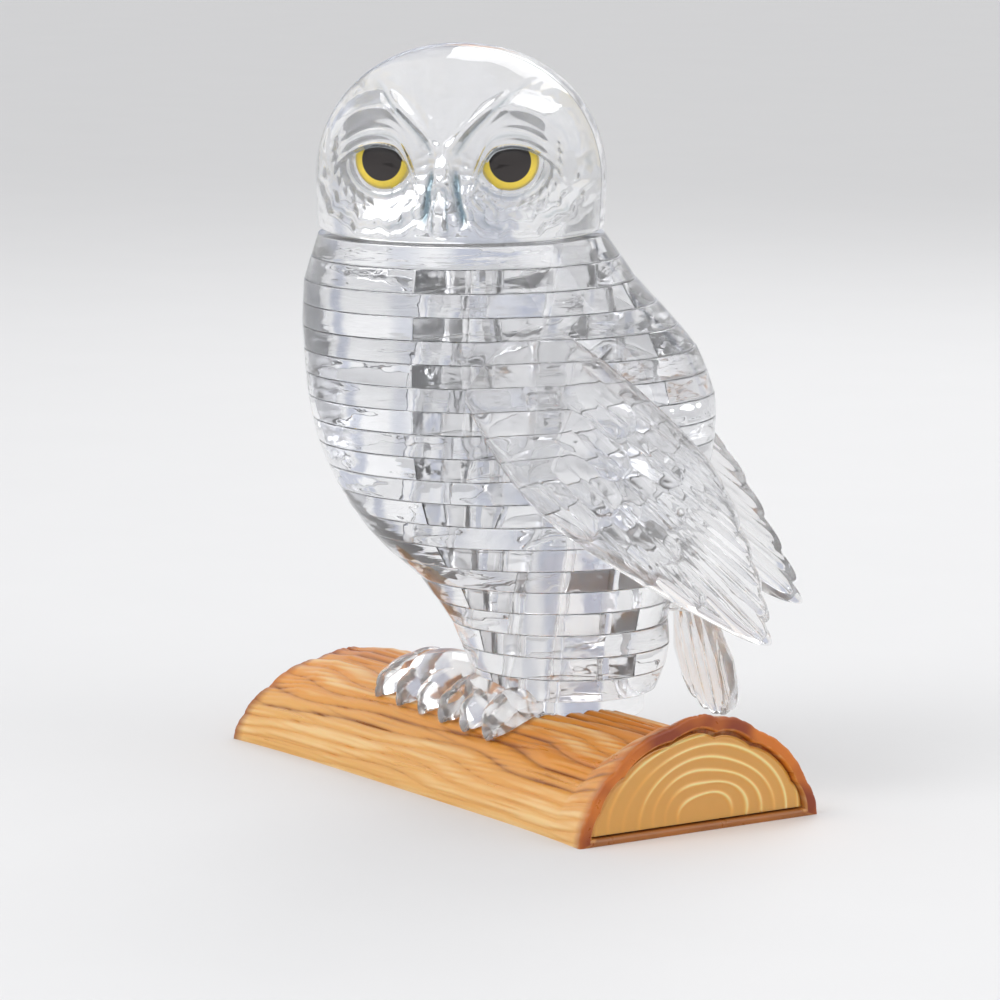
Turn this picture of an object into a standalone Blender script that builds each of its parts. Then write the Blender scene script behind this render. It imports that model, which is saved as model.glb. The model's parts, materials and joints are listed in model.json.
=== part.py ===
"""Clear plastic jigsaw owl perched on an amber half log.

The owl is a stack of level plates round a post. Each level is cut in two by a jigsaw line, and every
piece is half of one level fused to half of the next, so that the pieces climb round the post like a
spiral stair. The head, wings, tail and feet push on to the stack, and the stack stands on the log.
Frame: +Z up, the log lies along X, and the origin is the middle of the log's flat base.
"""

import math

import bmesh
import bpy
import numpy as np
from mathutils import Matrix, Vector

MM = 0.001

# Clearances
GAP = 0.3 * MM

# Log
LOG_LENGTH = 106 * MM
LOG_WIDTH = 47.4 * MM
LOG_WAIST = 3.0 * MM
LOG_RIDGE = 14.9 * MM
LOG_RISE_RIGHT = 4.6 * MM
LOG_RISE_LEFT = -1.0 * MM
LOG_FLARE = 9 * MM
LOG_POWER = 1.75
BARK_DEPTH = 0.5 * MM
BARK_RIDGES = 8
LOG_STATIONS = 19
LOG_ARC_STEPS = 34
END_RIM = 2.6 * MM
END_POCKET = 2.2 * MM
END_THICKNESS = 1.4 * MM
END_FLOOR = 1.2 * MM
SEAT_DEPTH = 2.8 * MM

# Where the owl stands on the log, and which way it faces (0 is -Y)
OWL_X = 6 * MM
OWL_Y = 4 * MM
OWL_TURN = math.radians(-30)
LEVELS = 21
LEVEL_PITCH = 3.82 * MM
# Height above the log as a share of the stack, then the section's middle, half depth and half width
OWL_SECTIONS = (
    (0.00, 2.0 * MM, 11.0 * MM, 15.0 * MM),
    (0.05, 2.1 * MM, 14.8 * MM, 16.4 * MM),
    (0.12, 2.0 * MM, 17.2 * MM, 17.6 * MM),
    (0.20, 0.4 * MM, 18.3 * MM, 18.2 * MM),
    (0.29, -1.2 * MM, 22.0 * MM, 21.0 * MM),
    (0.36, -3.9 * MM, 26.0 * MM, 23.8 * MM),
    (0.45, -5.4 * MM, 29.8 * MM, 26.0 * MM),
    (0.55, -6.4 * MM, 32.7 * MM, 27.3 * MM),
    (0.65, -7.1 * MM, 33.9 * MM, 27.5 * MM),
    (0.75, -8.9 * MM, 32.9 * MM, 27.0 * MM),
    (0.82, -11.3 * MM, 30.8 * MM, 26.0 * MM),
    (0.90, -14.2 * MM, 27.6 * MM, 25.0 * MM),
    (1.00, -15.7 * MM, 23.6 * MM, 23.7 * MM),
)
POST_RADIUS = 3.0 * MM
POST_BACK = -2.0 * MM
POST_IN_LOG = 8 * MM
POST_IN_HEAD = 5 * MM
FIRST_CUT = math.radians(45)
QUARTER = math.radians(90)
RIM_STEPS = 17
HOLE_STEPS = 5
KNOB_MOST = 2.6 * MM
KNOB_SHARE = 0.24
KNOB_REACH = 0.75
KNOB_STEPS = 7
LINK_INSET = 1.2 * MM
LINK_STEPS = 5

# Wings, on an upright plane beside the stack that leans in towards the tail
WING_SIDE = 24 * MM
WING_TOE = math.radians(8)
WING_THICKNESS = 7.4 * MM
WING_CROWN = 15.5 * MM
WING_BLANK_LONG = 43 * MM
WING_BLANK_WIDE = 31 * MM
WING_SWEEP_RIGHT = 10 * MM
WING_TOP = 79.8 * MM
# Distance back from the owl's middle, and height, round the wing from the top of the shoulder
WING_OUTLINE = (
    (-5.9 * MM, 79.8 * MM),
    (-16.4 * MM, 70.2 * MM),
    (-15.4 * MM, 64.5 * MM),
    (-9.5 * MM, 54.4 * MM),
    (-0.9 * MM, 45.6 * MM),
    (10.6 * MM, 37.8 * MM),
    (20.7 * MM, 31.8 * MM),
    (31.5 * MM, 26.3 * MM),
    (34.4 * MM, 28.0 * MM),
    (30.5 * MM, 42.0 * MM),
    (26.0 * MM, 53.0 * MM),
    (19.3 * MM, 61.7 * MM),
    (5.5 * MM, 74.0 * MM),
)
TONGUE_WIDTH = 5 * MM
TONGUE_HEIGHT = 1.6 * MM
TONGUE_DEPTH = 4.5 * MM
WING_LEVEL = 14
WING_TONGUE_BACK = -4 * MM

# Tail
TAIL_LEVEL = 4
TAIL_WIDTH = 20 * MM
TAIL_LENGTH = 21.5 * MM
TAIL_THICKNESS = 2.8 * MM
TAIL_LEAN = math.radians(14)
TAIL_TWIST = math.radians(22)
TAIL_STAND_OFF = 3.6 * MM

# Feet, each three toes with claws, in a frame that faces along the log's front
FEET_TURN = math.radians(-4)
FEET_X = -3.6 * MM
FEET_Y = -7.6 * MM
FEET_SPACING = 21.8 * MM
TOE_SPREAD = 6.6 * MM
TOE_FAN = math.radians(8)
TOE_DIP = math.radians(20)
TOE_SIZE = (3.5 * MM, 7.2 * MM, 4.0 * MM)
TOE_HEIGHT = 14.4 * MM
CLAW_RADIUS = 1.3 * MM
CLAW_LENGTH = 3.4 * MM
ANKLE_SIZE = (8.8 * MM, 6.5 * MM, 4.8 * MM)
ANKLE_BACK = 2.2 * MM
ANKLE_RISE = 0.8 * MM
SHIN_RADIUS = 3.1 * MM
FOOT_LEVELS = 3

# Head, a dome on the top level, turned towards the owl's left
HEAD_TURN = math.radians(49)
HEAD_RADIUS = 24 * MM
HEAD_SKIRT = 8.4 * MM
HEAD_DOME = 22.4 * MM
HEAD_POWER = 2.1
HEAD_SPLIT = -4 * MM
HEAD_STEPS = 32
EYE_APART = 20.6 * MM
EYE_HEIGHT = 13.2 * MM
EYE_RADIUS = 4.9 * MM
EYE_THICKNESS = 1.6 * MM
EYE_CROWN = 1.0 * MM
EYE_OUT = math.radians(12)
EYE_FORWARD = 18.4 * MM
DISC_RADIUS = 9.6 * MM
DISC_DEPTH = 12 * MM
BEAK_RADIUS = 2.6 * MM
BEAK_LENGTH = 13 * MM
BEAK_TOP = 14.2 * MM
BEAK_FORWARD = 20.6 * MM
BEAK_LEAN = math.radians(16)

CLEAR = (0.86, 0.88, 0.93)
AMBER = (0.83, 0.50, 0.16)
END_AMBER = (0.90, 0.66, 0.34)
YELLOW = (0.93, 0.76, 0.12)

LOG_SEAT = LOG_RIDGE - SEAT_DEPTH
STACK_FOOT = LOG_SEAT + GAP
STACK_TOP = STACK_FOOT + LEVELS * LEVEL_PITCH
HOLE_RADIUS = POST_RADIUS + GAP
OWL_FRAME = Matrix.Translation((OWL_X, OWL_Y, 0)) @ Matrix.Rotation(OWL_TURN, 4, "Z")


def clear_scene():
    for obj in list(bpy.data.objects):
        bpy.data.objects.remove(obj)


def material(name, colour, roughness):
    """A Principled material for one part."""
    made = bpy.data.materials.new(name)
    made.use_nodes = True
    shader = made.node_tree.nodes["Principled BSDF"]
    shader.inputs["Base Color"].default_value = (*colour, 1)
    shader.inputs["Roughness"].default_value = roughness
    shader.inputs["Metallic"].default_value = 0.0
    return made


def mesh_object(name, bm):
    """A loose object holding a copy of the bmesh, which is freed."""
    mesh = bpy.data.meshes.new(name)
    bm.to_mesh(mesh)
    bm.free()
    return bpy.data.objects.new(name, mesh)


def evaluated_mesh(obj):
    """The object's mesh with its modifiers applied, in its own frame."""
    bpy.context.scene.collection.objects.link(obj)
    bpy.context.view_layer.update()
    graph = bpy.context.evaluated_depsgraph_get()
    mesh = bpy.data.meshes.new_from_object(obj.evaluated_get(graph), depsgraph=graph)
    bpy.context.scene.collection.objects.unlink(obj)
    return mesh


def join(obj, tool, operation):
    """Boolean of two loose objects that share one frame; the tool is used up."""
    bpy.context.scene.collection.objects.link(tool)
    modifier = obj.modifiers.new(operation.lower(), "BOOLEAN")
    modifier.operation = operation
    modifier.solver = "EXACT"
    modifier.object = tool
    obj.data = evaluated_mesh(obj)
    obj.modifiers.clear()
    bpy.data.objects.remove(tool)
    return obj


def prism(name, outlines, low, high):
    """An upright prism on closed outlines in XY; an outline inside another is a hole."""
    curve = bpy.data.curves.new(name, "CURVE")
    curve.dimensions = "2D"
    curve.fill_mode = "BOTH"
    curve.extrude = (high - low) / 2
    for outline in outlines:
        spline = curve.splines.new("POLY")
        spline.points.add(len(outline) - 1)
        for point, (x, y) in zip(spline.points, outline):
            point.co = (x, y, 0, 1)
        spline.use_cyclic_u = True
    return welded_curve(name, curve, (low + high) / 2)


def welded_curve(name, curve, lift):
    """The curve as a mesh object with its caps welded on, raised by lift."""
    obj = bpy.data.objects.new(name, curve)
    bm = bmesh.new()
    bm.from_mesh(evaluated_mesh(obj))
    bpy.data.objects.remove(obj)
    bmesh.ops.remove_doubles(bm, verts=bm.verts, dist=0.002 * MM)
    bmesh.ops.recalc_face_normals(bm, faces=bm.faces)
    bmesh.ops.translate(bm, verts=bm.verts, vec=(0, 0, lift))
    return mesh_object(name, bm)


def box(name, low, high):
    """A box between two corners."""
    bm = bmesh.new()
    low, high = Vector(low), Vector(high)
    size = Matrix.Diagonal((high - low).to_4d())
    bmesh.ops.create_cube(bm, size=1, matrix=Matrix.Translation((low + high) / 2) @ size)
    return mesh_object(name, bm)


def cylinder(name, radius, length, matrix, tip=None, segments=24):
    """A cylinder along its own Z from 0 to length, or a cone where tip is its far radius."""
    bm = bmesh.new()
    bmesh.ops.create_cone(
        bm,
        cap_ends=True,
        segments=segments,
        radius1=radius,
        radius2=radius if tip is None else tip,
        depth=length,
        matrix=matrix @ Matrix.Translation((0, 0, length / 2)),
    )
    return mesh_object(name, bm)


def ball(name, sizes, matrix, segments=12, rings=8):
    """An ellipsoid with these half sizes."""
    bm = bmesh.new()
    scaled = matrix @ Matrix.Diagonal((*sizes, 1))
    bmesh.ops.create_uvsphere(bm, u_segments=segments, v_segments=rings, radius=1, matrix=scaled)
    return mesh_object(name, bm)


def turned(name, profile, steps):
    """A solid of revolution about Z from (radius, height) points that run from the top down."""
    bm = bmesh.new()
    points = [bm.verts.new((radius, 0, height)) for radius, height in profile]
    for upper, lower in zip(points, points[1:]):
        bm.edges.new((upper, lower))
    obj = mesh_object(name, bm)
    screw = obj.modifiers.new("turn", "SCREW")
    screw.steps = steps
    screw.render_steps = steps
    screw.use_merge_vertices = True
    screw.merge_threshold = 0.002 * MM
    obj.data = evaluated_mesh(obj)
    obj.modifiers.clear()
    return obj


def finish(obj, collection, frame, look):
    """Files a finished part under its frame, with its material and smooth round faces."""
    obj.data.materials.clear()
    obj.data.materials.append(look)
    obj.data.shade_smooth()
    obj.data.set_sharp_from_angle(angle=math.radians(35))
    obj.parent = frame
    collection.objects.link(obj)
    return obj


def empty(name, matrix, collection, parent=None):
    """A frame for moving parts."""
    made = bpy.data.objects.new(name, None)
    collection.objects.link(made)
    made.empty_display_size = 10 * MM
    made.parent = parent
    made.matrix_local = matrix
    return made


# ---------------------------------------------------------------- log


def log_half_width(x):
    """Half width of the log, waisted towards the middle."""
    share = abs(x) / (LOG_LENGTH / 2)
    return LOG_WIDTH / 2 - LOG_WAIST / 2 * (1 - share**4)


def log_height(x):
    """Height of the log's ridge, which rises in a flare at both ends."""
    rise = LOG_RISE_RIGHT if x > 0 else LOG_RISE_LEFT
    into_flare = max(0.0, 1 - (LOG_LENGTH / 2 - abs(x)) / LOG_FLARE)
    return LOG_RIDGE + rise * math.sin(into_flare * math.radians(75))


def superellipse(angles):
    """A quarter-turn-symmetric arch, more pointed than a circle, as (across, up) arrays."""
    across, up = np.cos(angles), np.sin(angles)
    power = 2 / LOG_POWER
    return np.sign(across) * np.abs(across) ** power, np.maximum(up, 0) ** power


def log_section(x, grow=0.0, bark=BARK_DEPTH):
    """The D of the log at x as (y, z) points, from the right foot over the ridge to the left."""
    wide, high = log_half_width(x) + grow, log_height(x) + grow
    angles = np.linspace(0, math.pi, LOG_ARC_STEPS)
    drift = 0.6 * np.sin(x / LOG_LENGTH * 9 + angles * 3)
    furrow = np.cos(BARK_RIDGES * 2 * angles + drift) * np.sin(angles)
    swell = 1 - bark / high * (1 - furrow) / 2
    y, z = superellipse(angles)
    return list(zip(wide * swell * y, high * swell * z))


def log_blank(name, grow=0.0, bark=BARK_DEPTH):
    """The log's outer form, lofted between its sections."""
    half = LOG_LENGTH / 2
    bend = np.linspace(-1, 1, LOG_STATIONS)
    stations = half * np.sign(bend) * (1 - (1 - np.abs(bend)) ** 1.35)
    bm = bmesh.new()
    rings = [
        [bm.verts.new((x, y, z)) for y, z in log_section(x, grow, bark)] for x in stations
    ]
    for ring, after in zip(rings, rings[1:]):
        for i in range(LOG_ARC_STEPS):
            j = (i + 1) % LOG_ARC_STEPS
            bm.faces.new((ring[i], ring[j], after[j], after[i]))
    bm.faces.new(rings[0])
    bm.faces.new(rings[-1])
    bmesh.ops.recalc_face_normals(bm, faces=bm.faces)
    return mesh_object(name, bm)


def end_outline(side, inset):
    """The D of an end plate or its pocket, from the log's end section pulled in by inset."""
    x = side * LOG_LENGTH / 2
    wide, high = log_half_width(x) - inset, log_height(x) - inset - BARK_DEPTH
    y, z = superellipse(np.linspace(0, math.pi, LOG_ARC_STEPS // 2))
    base = END_FLOOR + inset - END_RIM
    return list(zip(wide * y, base + (high - base) * z))


def end_plate(name, side, inset, outer, thickness):
    """A D-shaped plate across the log, whose outer face lies at x = side * outer."""
    plate = prism(name, [end_outline(side, inset)], -thickness / 2, thickness / 2)
    stand = Matrix(((0, 0, 1, 0), (1, 0, 0, 0), (0, 1, 0, 0), (0, 0, 0, 1)))
    middle = side * (outer - thickness / 2)
    plate.data.transform(Matrix.Translation((middle, 0, 0)) @ stand)
    return plate


def make_log(collection):
    bark = material("log_bark", AMBER, 0.25)
    end_look = material("log_end", END_AMBER, 0.2)
    log = log_blank("log_body")
    half = LOG_LENGTH / 2
    join(log, level_clearance("seat", 0, 2 * LOG_RIDGE), "DIFFERENCE")
    post = OWL_FRAME @ Vector((0, POST_BACK, LOG_SEAT - POST_IN_LOG - GAP))
    socket = cylinder("socket", HOLE_RADIUS, LOG_RIDGE, Matrix.Translation(post))
    join(log, socket, "DIFFERENCE")
    for side, name in ((1, "log_end_right"), (-1, "log_end_left")):
        pocket = end_plate("pocket", side, END_RIM, half + END_POCKET, 2 * END_POCKET)
        join(log, pocket, "DIFFERENCE")
        outer = half - END_POCKET + GAP + END_THICKNESS
        plate = end_plate(name, side, END_RIM + GAP, outer, END_THICKNESS)
        finish(plate, collection, None, end_look)
    finish(log, collection, None, bark)


# ---------------------------------------------------------------- stack of levels


def level_z(level):
    """Heights of the bottom and top faces of a level."""
    low = STACK_FOOT + level * LEVEL_PITCH
    return low, low + LEVEL_PITCH - GAP


def rim_radius(level, angle):
    """Distance from the post's axis to a level's rim along angles in the owl's frame.

    The rim is an ellipse cut flat where the wings lie against it.
    """
    share = (level + 0.5) / LEVELS
    stations = np.array(OWL_SECTIONS)
    middle, deep, wide = (np.interp(share, stations[:, 0], stations[:, i]) for i in (1, 2, 3))
    across, back = np.cos(angle), np.sin(angle)
    offset = POST_BACK - middle
    a = (across / wide) ** 2 + (back / deep) ** 2
    b = offset * back / deep**2
    c = (offset / deep) ** 2 - 1
    radius = (np.sqrt(b * b - a * c) - b) / a
    for side in (1, -1):
        facing = side * math.cos(WING_TOE) * across + math.sin(WING_TOE) * back
        reach = WING_SIDE * math.cos(WING_TOE) - POST_BACK * math.sin(WING_TOE)
        flat = np.where(facing > 1e-6, reach / np.maximum(facing, 1e-6), np.inf)
        radius = np.minimum(radius, flat)
    return radius


def on_level(radius, angle):
    """(x, y) points at these distances and directions from the post."""
    return list(zip(radius * np.cos(angle), POST_BACK + radius * np.sin(angle)))


def cut_edge(level, angle, side):
    """One jigsaw cut from the post hole to the rim, with its round knob.

    side is -1 for the half that carries the knob, and 1 for the half beyond the cut, which has the
    socket. The two lie a gap apart all along.
    """
    inner, outer = HOLE_RADIUS, float(rim_radius(level, angle))
    aside = side * GAP / 2
    knob = min(KNOB_MOST, KNOB_SHARE * (outer - inner))
    radius = knob + aside
    middle, beyond = (inner + outer) / 2, KNOB_REACH * knob
    lean = math.asin((beyond - aside) / radius)
    sweep = np.linspace(math.pi + lean, -lean, KNOB_STEPS)
    rim = float(rim_radius(level, angle + math.asin(aside / outer)))
    along = [math.sqrt(inner**2 - aside**2), *(middle + radius * np.cos(sweep))]
    across = [aside, *(beyond + radius * np.sin(sweep))]
    along.append(math.sqrt(rim**2 - aside**2))
    across.append(aside)
    along, across = np.array(along), np.array(across)
    return on_level(np.hypot(along, across), angle + np.arctan2(across, along))


def half_outline(level, start):
    """Half of a level, from the socket at its start to the knob half a turn on."""
    stop = start + math.pi
    rim = np.linspace(start, stop, RIM_STEPS + 2)[1:-1]
    hole = np.linspace(stop, start, HOLE_STEPS + 2)[1:-1]
    return [
        *cut_edge(level, start, 1),
        *on_level(rim_radius(level, rim), rim),
        *reversed(cut_edge(level, stop, -1)),
        *on_level(HOLE_RADIUS, hole),
    ]


def cut_angle(level):
    """The direction of a level's cut, a quarter turn on from the level below."""
    return FIRST_CUT + level * QUARTER


def link_outline(level):
    """The quarter where a piece's two halves lie over each other, inside both rims."""
    start = cut_angle(level)
    knob = KNOB_MOST * (1 + KNOB_REACH) + LINK_INSET
    rough = min(rim_radius(level, start + QUARTER / 2), rim_radius(level + 1, start + QUARTER / 2))
    first = start + math.asin(knob / (rough - LINK_INSET))
    last = start + QUARTER - math.asin(LINK_INSET / (rough - LINK_INSET))
    arc = np.linspace(first, last, LINK_STEPS)
    rim = np.minimum(rim_radius(level, arc), rim_radius(level + 1, arc)) - LINK_INSET
    corner = math.hypot(LINK_INSET, knob)
    return on_level(corner, np.array([start + math.atan2(knob, LINK_INSET)])) + on_level(rim, arc)


def level_clearance(name, level, top=None):
    """An upright prism a gap larger than a level all round, in the part's frame, up to top."""
    rim = np.linspace(0, 2 * math.pi, 2 * RIM_STEPS + 1)[:-1]
    low, high = level_z(level)
    outline = on_level(rim_radius(level, rim) + GAP, rim)
    clearance = prism(name, [outline], low - GAP, (high if top is None else top) + GAP)
    clearance.data.transform(OWL_FRAME)
    return clearance


def half_level(name, level, start):
    return prism(name, [half_outline(level, start)], *level_z(level))


def spiral_piece(name, level):
    """Half of this level fused to half of the next."""
    start = cut_angle(level)
    piece = half_level(name, level, start)
    upper = half_level("upper", level + 1, cut_angle(level + 1) + math.pi)
    middle = (LEVEL_PITCH - GAP) / 2
    link = prism("link", [link_outline(level)], level_z(level)[0] + middle, level_z(level + 1)[0] + middle)
    join(piece, link, "UNION")
    return join(piece, upper, "UNION")


def whole_level(name, level):
    """A level in one piece, with the post's hole."""
    rim = np.linspace(0, 2 * math.pi, 2 * RIM_STEPS + 1)[:-1]
    hole = np.linspace(0, 2 * math.pi, 4 * HOLE_STEPS + 1)[:-1]
    outlines = [on_level(rim_radius(level, rim), rim), on_level(HOLE_RADIUS, hole)]
    return prism(name, outlines, *level_z(level))


def tongue(name, level, inner, outer, grow):
    """A flat tongue along +Y from inner to outer at half the height of a level."""
    low, high = level_z(level)
    middle = (low + high) / 2
    half_width, half_height = TONGUE_WIDTH / 2 + grow, TONGUE_HEIGHT / 2 + grow
    return box(
        name, (-half_width, inner - grow, middle - half_height), (half_width, outer, middle + half_height)
    )


def wing_tongue(name, side, grow):
    """A wing's tongue, in the owl's frame."""
    made = tongue(name, WING_LEVEL, -TONGUE_DEPTH, 2 * GAP, grow)
    turn = Matrix.Rotation(-side * QUARTER, 4, "Z")
    made.data.transform(wing_matrix(side) @ Matrix.Translation((0, WING_TONGUE_BACK, 0)) @ turn)
    return made


def tail_tongue(name, grow):
    """The tail's tongue, in the owl's frame."""
    rim = POST_BACK + float(rim_radius(TAIL_LEVEL, QUARTER))
    return tongue(name, TAIL_LEVEL, rim - TONGUE_DEPTH, rim + TAIL_STAND_OFF + GAP, grow)


def make_stack(collection, frame):
    clear = material("clear_plastic", CLEAR, 0.05)
    finish(whole_level("base_plate", 0), collection, frame, clear)
    finish(whole_level("collar_plate", LEVELS - 1), collection, frame, clear)
    last = LEVELS - 2
    pieces = {1: half_level("body_piece_01", 1, cut_angle(1) + math.pi)}
    for level in range(1, last):
        pieces[level + 1] = spiral_piece(f"body_piece_{level + 1:02d}", level)
    pieces[last + 1] = half_level(f"body_piece_{last + 1:02d}", last, cut_angle(last))
    # At the wings' level the lower piece of the two holds the right wing, and the upper the left.
    join(pieces[WING_LEVEL], wing_tongue("slot", -1, GAP), "DIFFERENCE")
    join(pieces[WING_LEVEL + 1], wing_tongue("slot", 1, GAP), "DIFFERENCE")
    join(pieces[TAIL_LEVEL + 1], tail_tongue("slot", GAP), "DIFFERENCE")
    for piece in pieces.values():
        finish(piece, collection, frame, clear)
    foot = LOG_SEAT - POST_IN_LOG
    post = cylinder(
        "centre_post",
        POST_RADIUS,
        STACK_TOP + POST_IN_HEAD - foot,
        Matrix.Translation((0, POST_BACK, foot)),
    )
    finish(post, collection, frame, material("post_plastic", CLEAR, 0.1))


# ---------------------------------------------------------------- wings and tail


def wing_matrix(side):
    """The wing's plane: X out of the plane's face, Y back along it and Z up, in the owl's frame."""
    return Matrix.Translation((side * WING_SIDE, 0, 0)) @ Matrix.Rotation(side * WING_TOE, 4, "Z")


def wing_blade(name, side):
    """A crowned blade cut to the wing's outline, thin at its edges."""
    curve = bpy.data.curves.new(name, "CURVE")
    curve.dimensions = "2D"
    curve.fill_mode = "BOTH"
    curve.extrude = WING_THICKNESS / 2
    curve.resolution_u = 3
    spline = curve.splines.new("BEZIER")
    spline.bezier_points.add(len(WING_OUTLINE) - 1)
    for point, (back, height) in zip(spline.bezier_points, WING_OUTLINE):
        point.co = (back, height, 0)
        point.handle_left_type = point.handle_right_type = "AUTO"
    spline.use_cyclic_u = True
    blade = welded_curve(name, curve, WING_THICKNESS / 2 + GAP)
    long_way = Vector(WING_OUTLINE[8]) - Vector(WING_OUTLINE[1])
    middle = (Vector(WING_OUTLINE[8]) + Vector(WING_OUTLINE[1])) / 2
    crown = Matrix.Translation((*middle, GAP + WING_THICKNESS - WING_CROWN))
    crown @= Matrix.Rotation(math.atan2(long_way.y, long_way.x), 4, "Z")
    sizes = (WING_BLANK_LONG, WING_BLANK_WIDE, WING_CROWN)
    join(blade, ball("crown", sizes, crown, 36, 24), "INTERSECT")
    # From the drawing's X, Y and thickness to back, height and outwards.
    stand = Matrix(((0, 0, side, 0), (1, 0, 0, 0), (0, 1, 0, 0), (0, 0, 0, 1)))
    blade.data.transform(stand)
    if side < 0:
        blade.data.flip_normals()
        fall = WING_TOP - WING_OUTLINE[7][1]
        shear = Matrix.Identity(4)
        shear[1][2] = -WING_SWEEP_RIGHT / fall
        shear[1][3] = WING_SWEEP_RIGHT * WING_TOP / fall
        blade.data.transform(shear)
    return blade


def make_wings(collection, frame):
    look = material("wing_plastic", CLEAR, 0.08)
    for side, name in ((1, "wing_left"), (-1, "wing_right")):
        wing = wing_blade(name, side)
        matrix = wing_matrix(side)
        tab = wing_tongue("tab", side, 0.0)
        tab.data.transform(matrix.inverted())
        join(wing, tab, "UNION")
        pull = empty(f"{name}_frame", matrix, collection, frame)
        finish(wing, collection, pull, look)


def make_tail(collection, frame):
    rim = POST_BACK + float(rim_radius(TAIL_LEVEL, QUARTER))
    half = TAIL_WIDTH / 2
    outline = []
    for angle in np.linspace(0, math.pi, 9):
        outline.append((half * 0.8 * math.cos(angle), -TAIL_LENGTH + half * 0.6 * (1 - math.sin(angle))))
    outline += [(-half, -TAIL_LENGTH * 0.5), (-half * 0.55, 0), (half * 0.55, 0), (half, -TAIL_LENGTH * 0.5)]
    tail = prism("tail", [outline], -TAIL_THICKNESS / 2, TAIL_THICKNESS / 2)
    bevel = tail.modifiers.new("edge", "BEVEL")
    bevel.width = TAIL_THICKNESS / 4
    bevel.segments = 2
    tail.data = evaluated_mesh(tail)
    tail.modifiers.clear()
    low, high = level_z(TAIL_LEVEL)
    top = (low + high) / 2 + TONGUE_HEIGHT
    place = Matrix.Translation((0, rim + TAIL_STAND_OFF, top))
    place @= Matrix.Rotation(TAIL_TWIST, 4, "Z") @ Matrix.Rotation(QUARTER + TAIL_LEAN, 4, "X")
    tail.data.transform(place)
    join(tail, tail_tongue("tab", 0.0), "UNION")
    finish(tail, collection, frame, material("tail_plastic", CLEAR, 0.08))


# ---------------------------------------------------------------- feet


def toe(name, x, fan):
    """One toe with its claw, in the feet's frame."""
    place = Matrix.Translation((x, 0, TOE_HEIGHT)) @ Matrix.Rotation(fan, 4, "Z")
    place @= Matrix.Rotation(TOE_DIP, 4, "X")
    made = ball(name, TOE_SIZE, place, 12, 8)
    tip = place @ Matrix.Translation((0, -TOE_SIZE[1] * 0.72, 0)) @ Matrix.Rotation(math.radians(140), 4, "X")
    claw = cylinder("claw", CLAW_RADIUS, CLAW_LENGTH, tip, CLAW_RADIUS / 4, 8)
    return join(made, claw, "UNION")


def make_feet(collection, frame):
    look = material("foot_plastic", CLEAR, 0.08)
    feet = Matrix.Translation((FEET_X, FEET_Y, 0)) @ Matrix.Rotation(FEET_TURN, 4, "Z")
    hip_out = OWL_SECTIONS[0][3] / 2
    for side, name in ((1, "foot_left"), (-1, "foot_right")):
        middle = side * FEET_SPACING / 2
        foot = toe(name, middle, 0.0)
        for across in (-1, 1):
            join(foot, toe("toe", middle + across * TOE_SPREAD, across * TOE_FAN), "UNION")
        ankle = Matrix.Translation((middle - side * TOE_SPREAD / 4, ANKLE_BACK, TOE_HEIGHT + ANKLE_RISE))
        join(foot, ball("ankle", ANKLE_SIZE, ankle, 14, 8), "UNION")
        if side < 0:
            hip = feet.inverted() @ OWL_FRAME @ Vector((-hip_out, 0, 0))
            start = ankle.translation
            shin = Vector((hip.x, hip.y, start.z)) - start
            lean = shin.to_track_quat("Z", "Y").to_matrix().to_4x4()
            bone = cylinder("shin", SHIN_RADIUS, shin.length, Matrix.Translation(start) @ lean)
            join(foot, bone, "UNION")
        foot.data.transform(feet)
        join(foot, log_blank("log", GAP, 0.0), "DIFFERENCE")
        for level in range(FOOT_LEVELS):
            join(foot, level_clearance("plate", level), "DIFFERENCE")
        foot.data.transform(OWL_FRAME.inverted())
        finish(foot, collection, frame, look)


# ---------------------------------------------------------------- head


def head_blank(name):
    """The whole head about its own upright axis, from the stack's top."""
    centre = STACK_TOP + HEAD_SKIRT
    angles = np.linspace(math.pi / 2, 0, 9)
    profile = [
        (HEAD_RADIUS * abs(math.cos(a)) ** (2 / HEAD_POWER), centre + HEAD_DOME * math.sin(a) ** (2 / HEAD_POWER))
        for a in angles[:-1]
    ]
    profile[0] = (0, profile[0][1])
    profile += [(HEAD_RADIUS, centre), (HEAD_RADIUS * 0.985, STACK_TOP), (0, STACK_TOP)]
    return turned(name, profile, HEAD_STEPS)


def eye_matrix(side):
    """A frame at an eye's seat, with Z out of the face."""
    spot = Vector((side * EYE_APART / 2, -EYE_FORWARD, STACK_TOP + EYE_HEIGHT))
    return Matrix.Translation(spot) @ Matrix.Rotation(side * EYE_OUT, 4, "Z") @ Matrix.Rotation(QUARTER, 4, "X")


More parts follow.
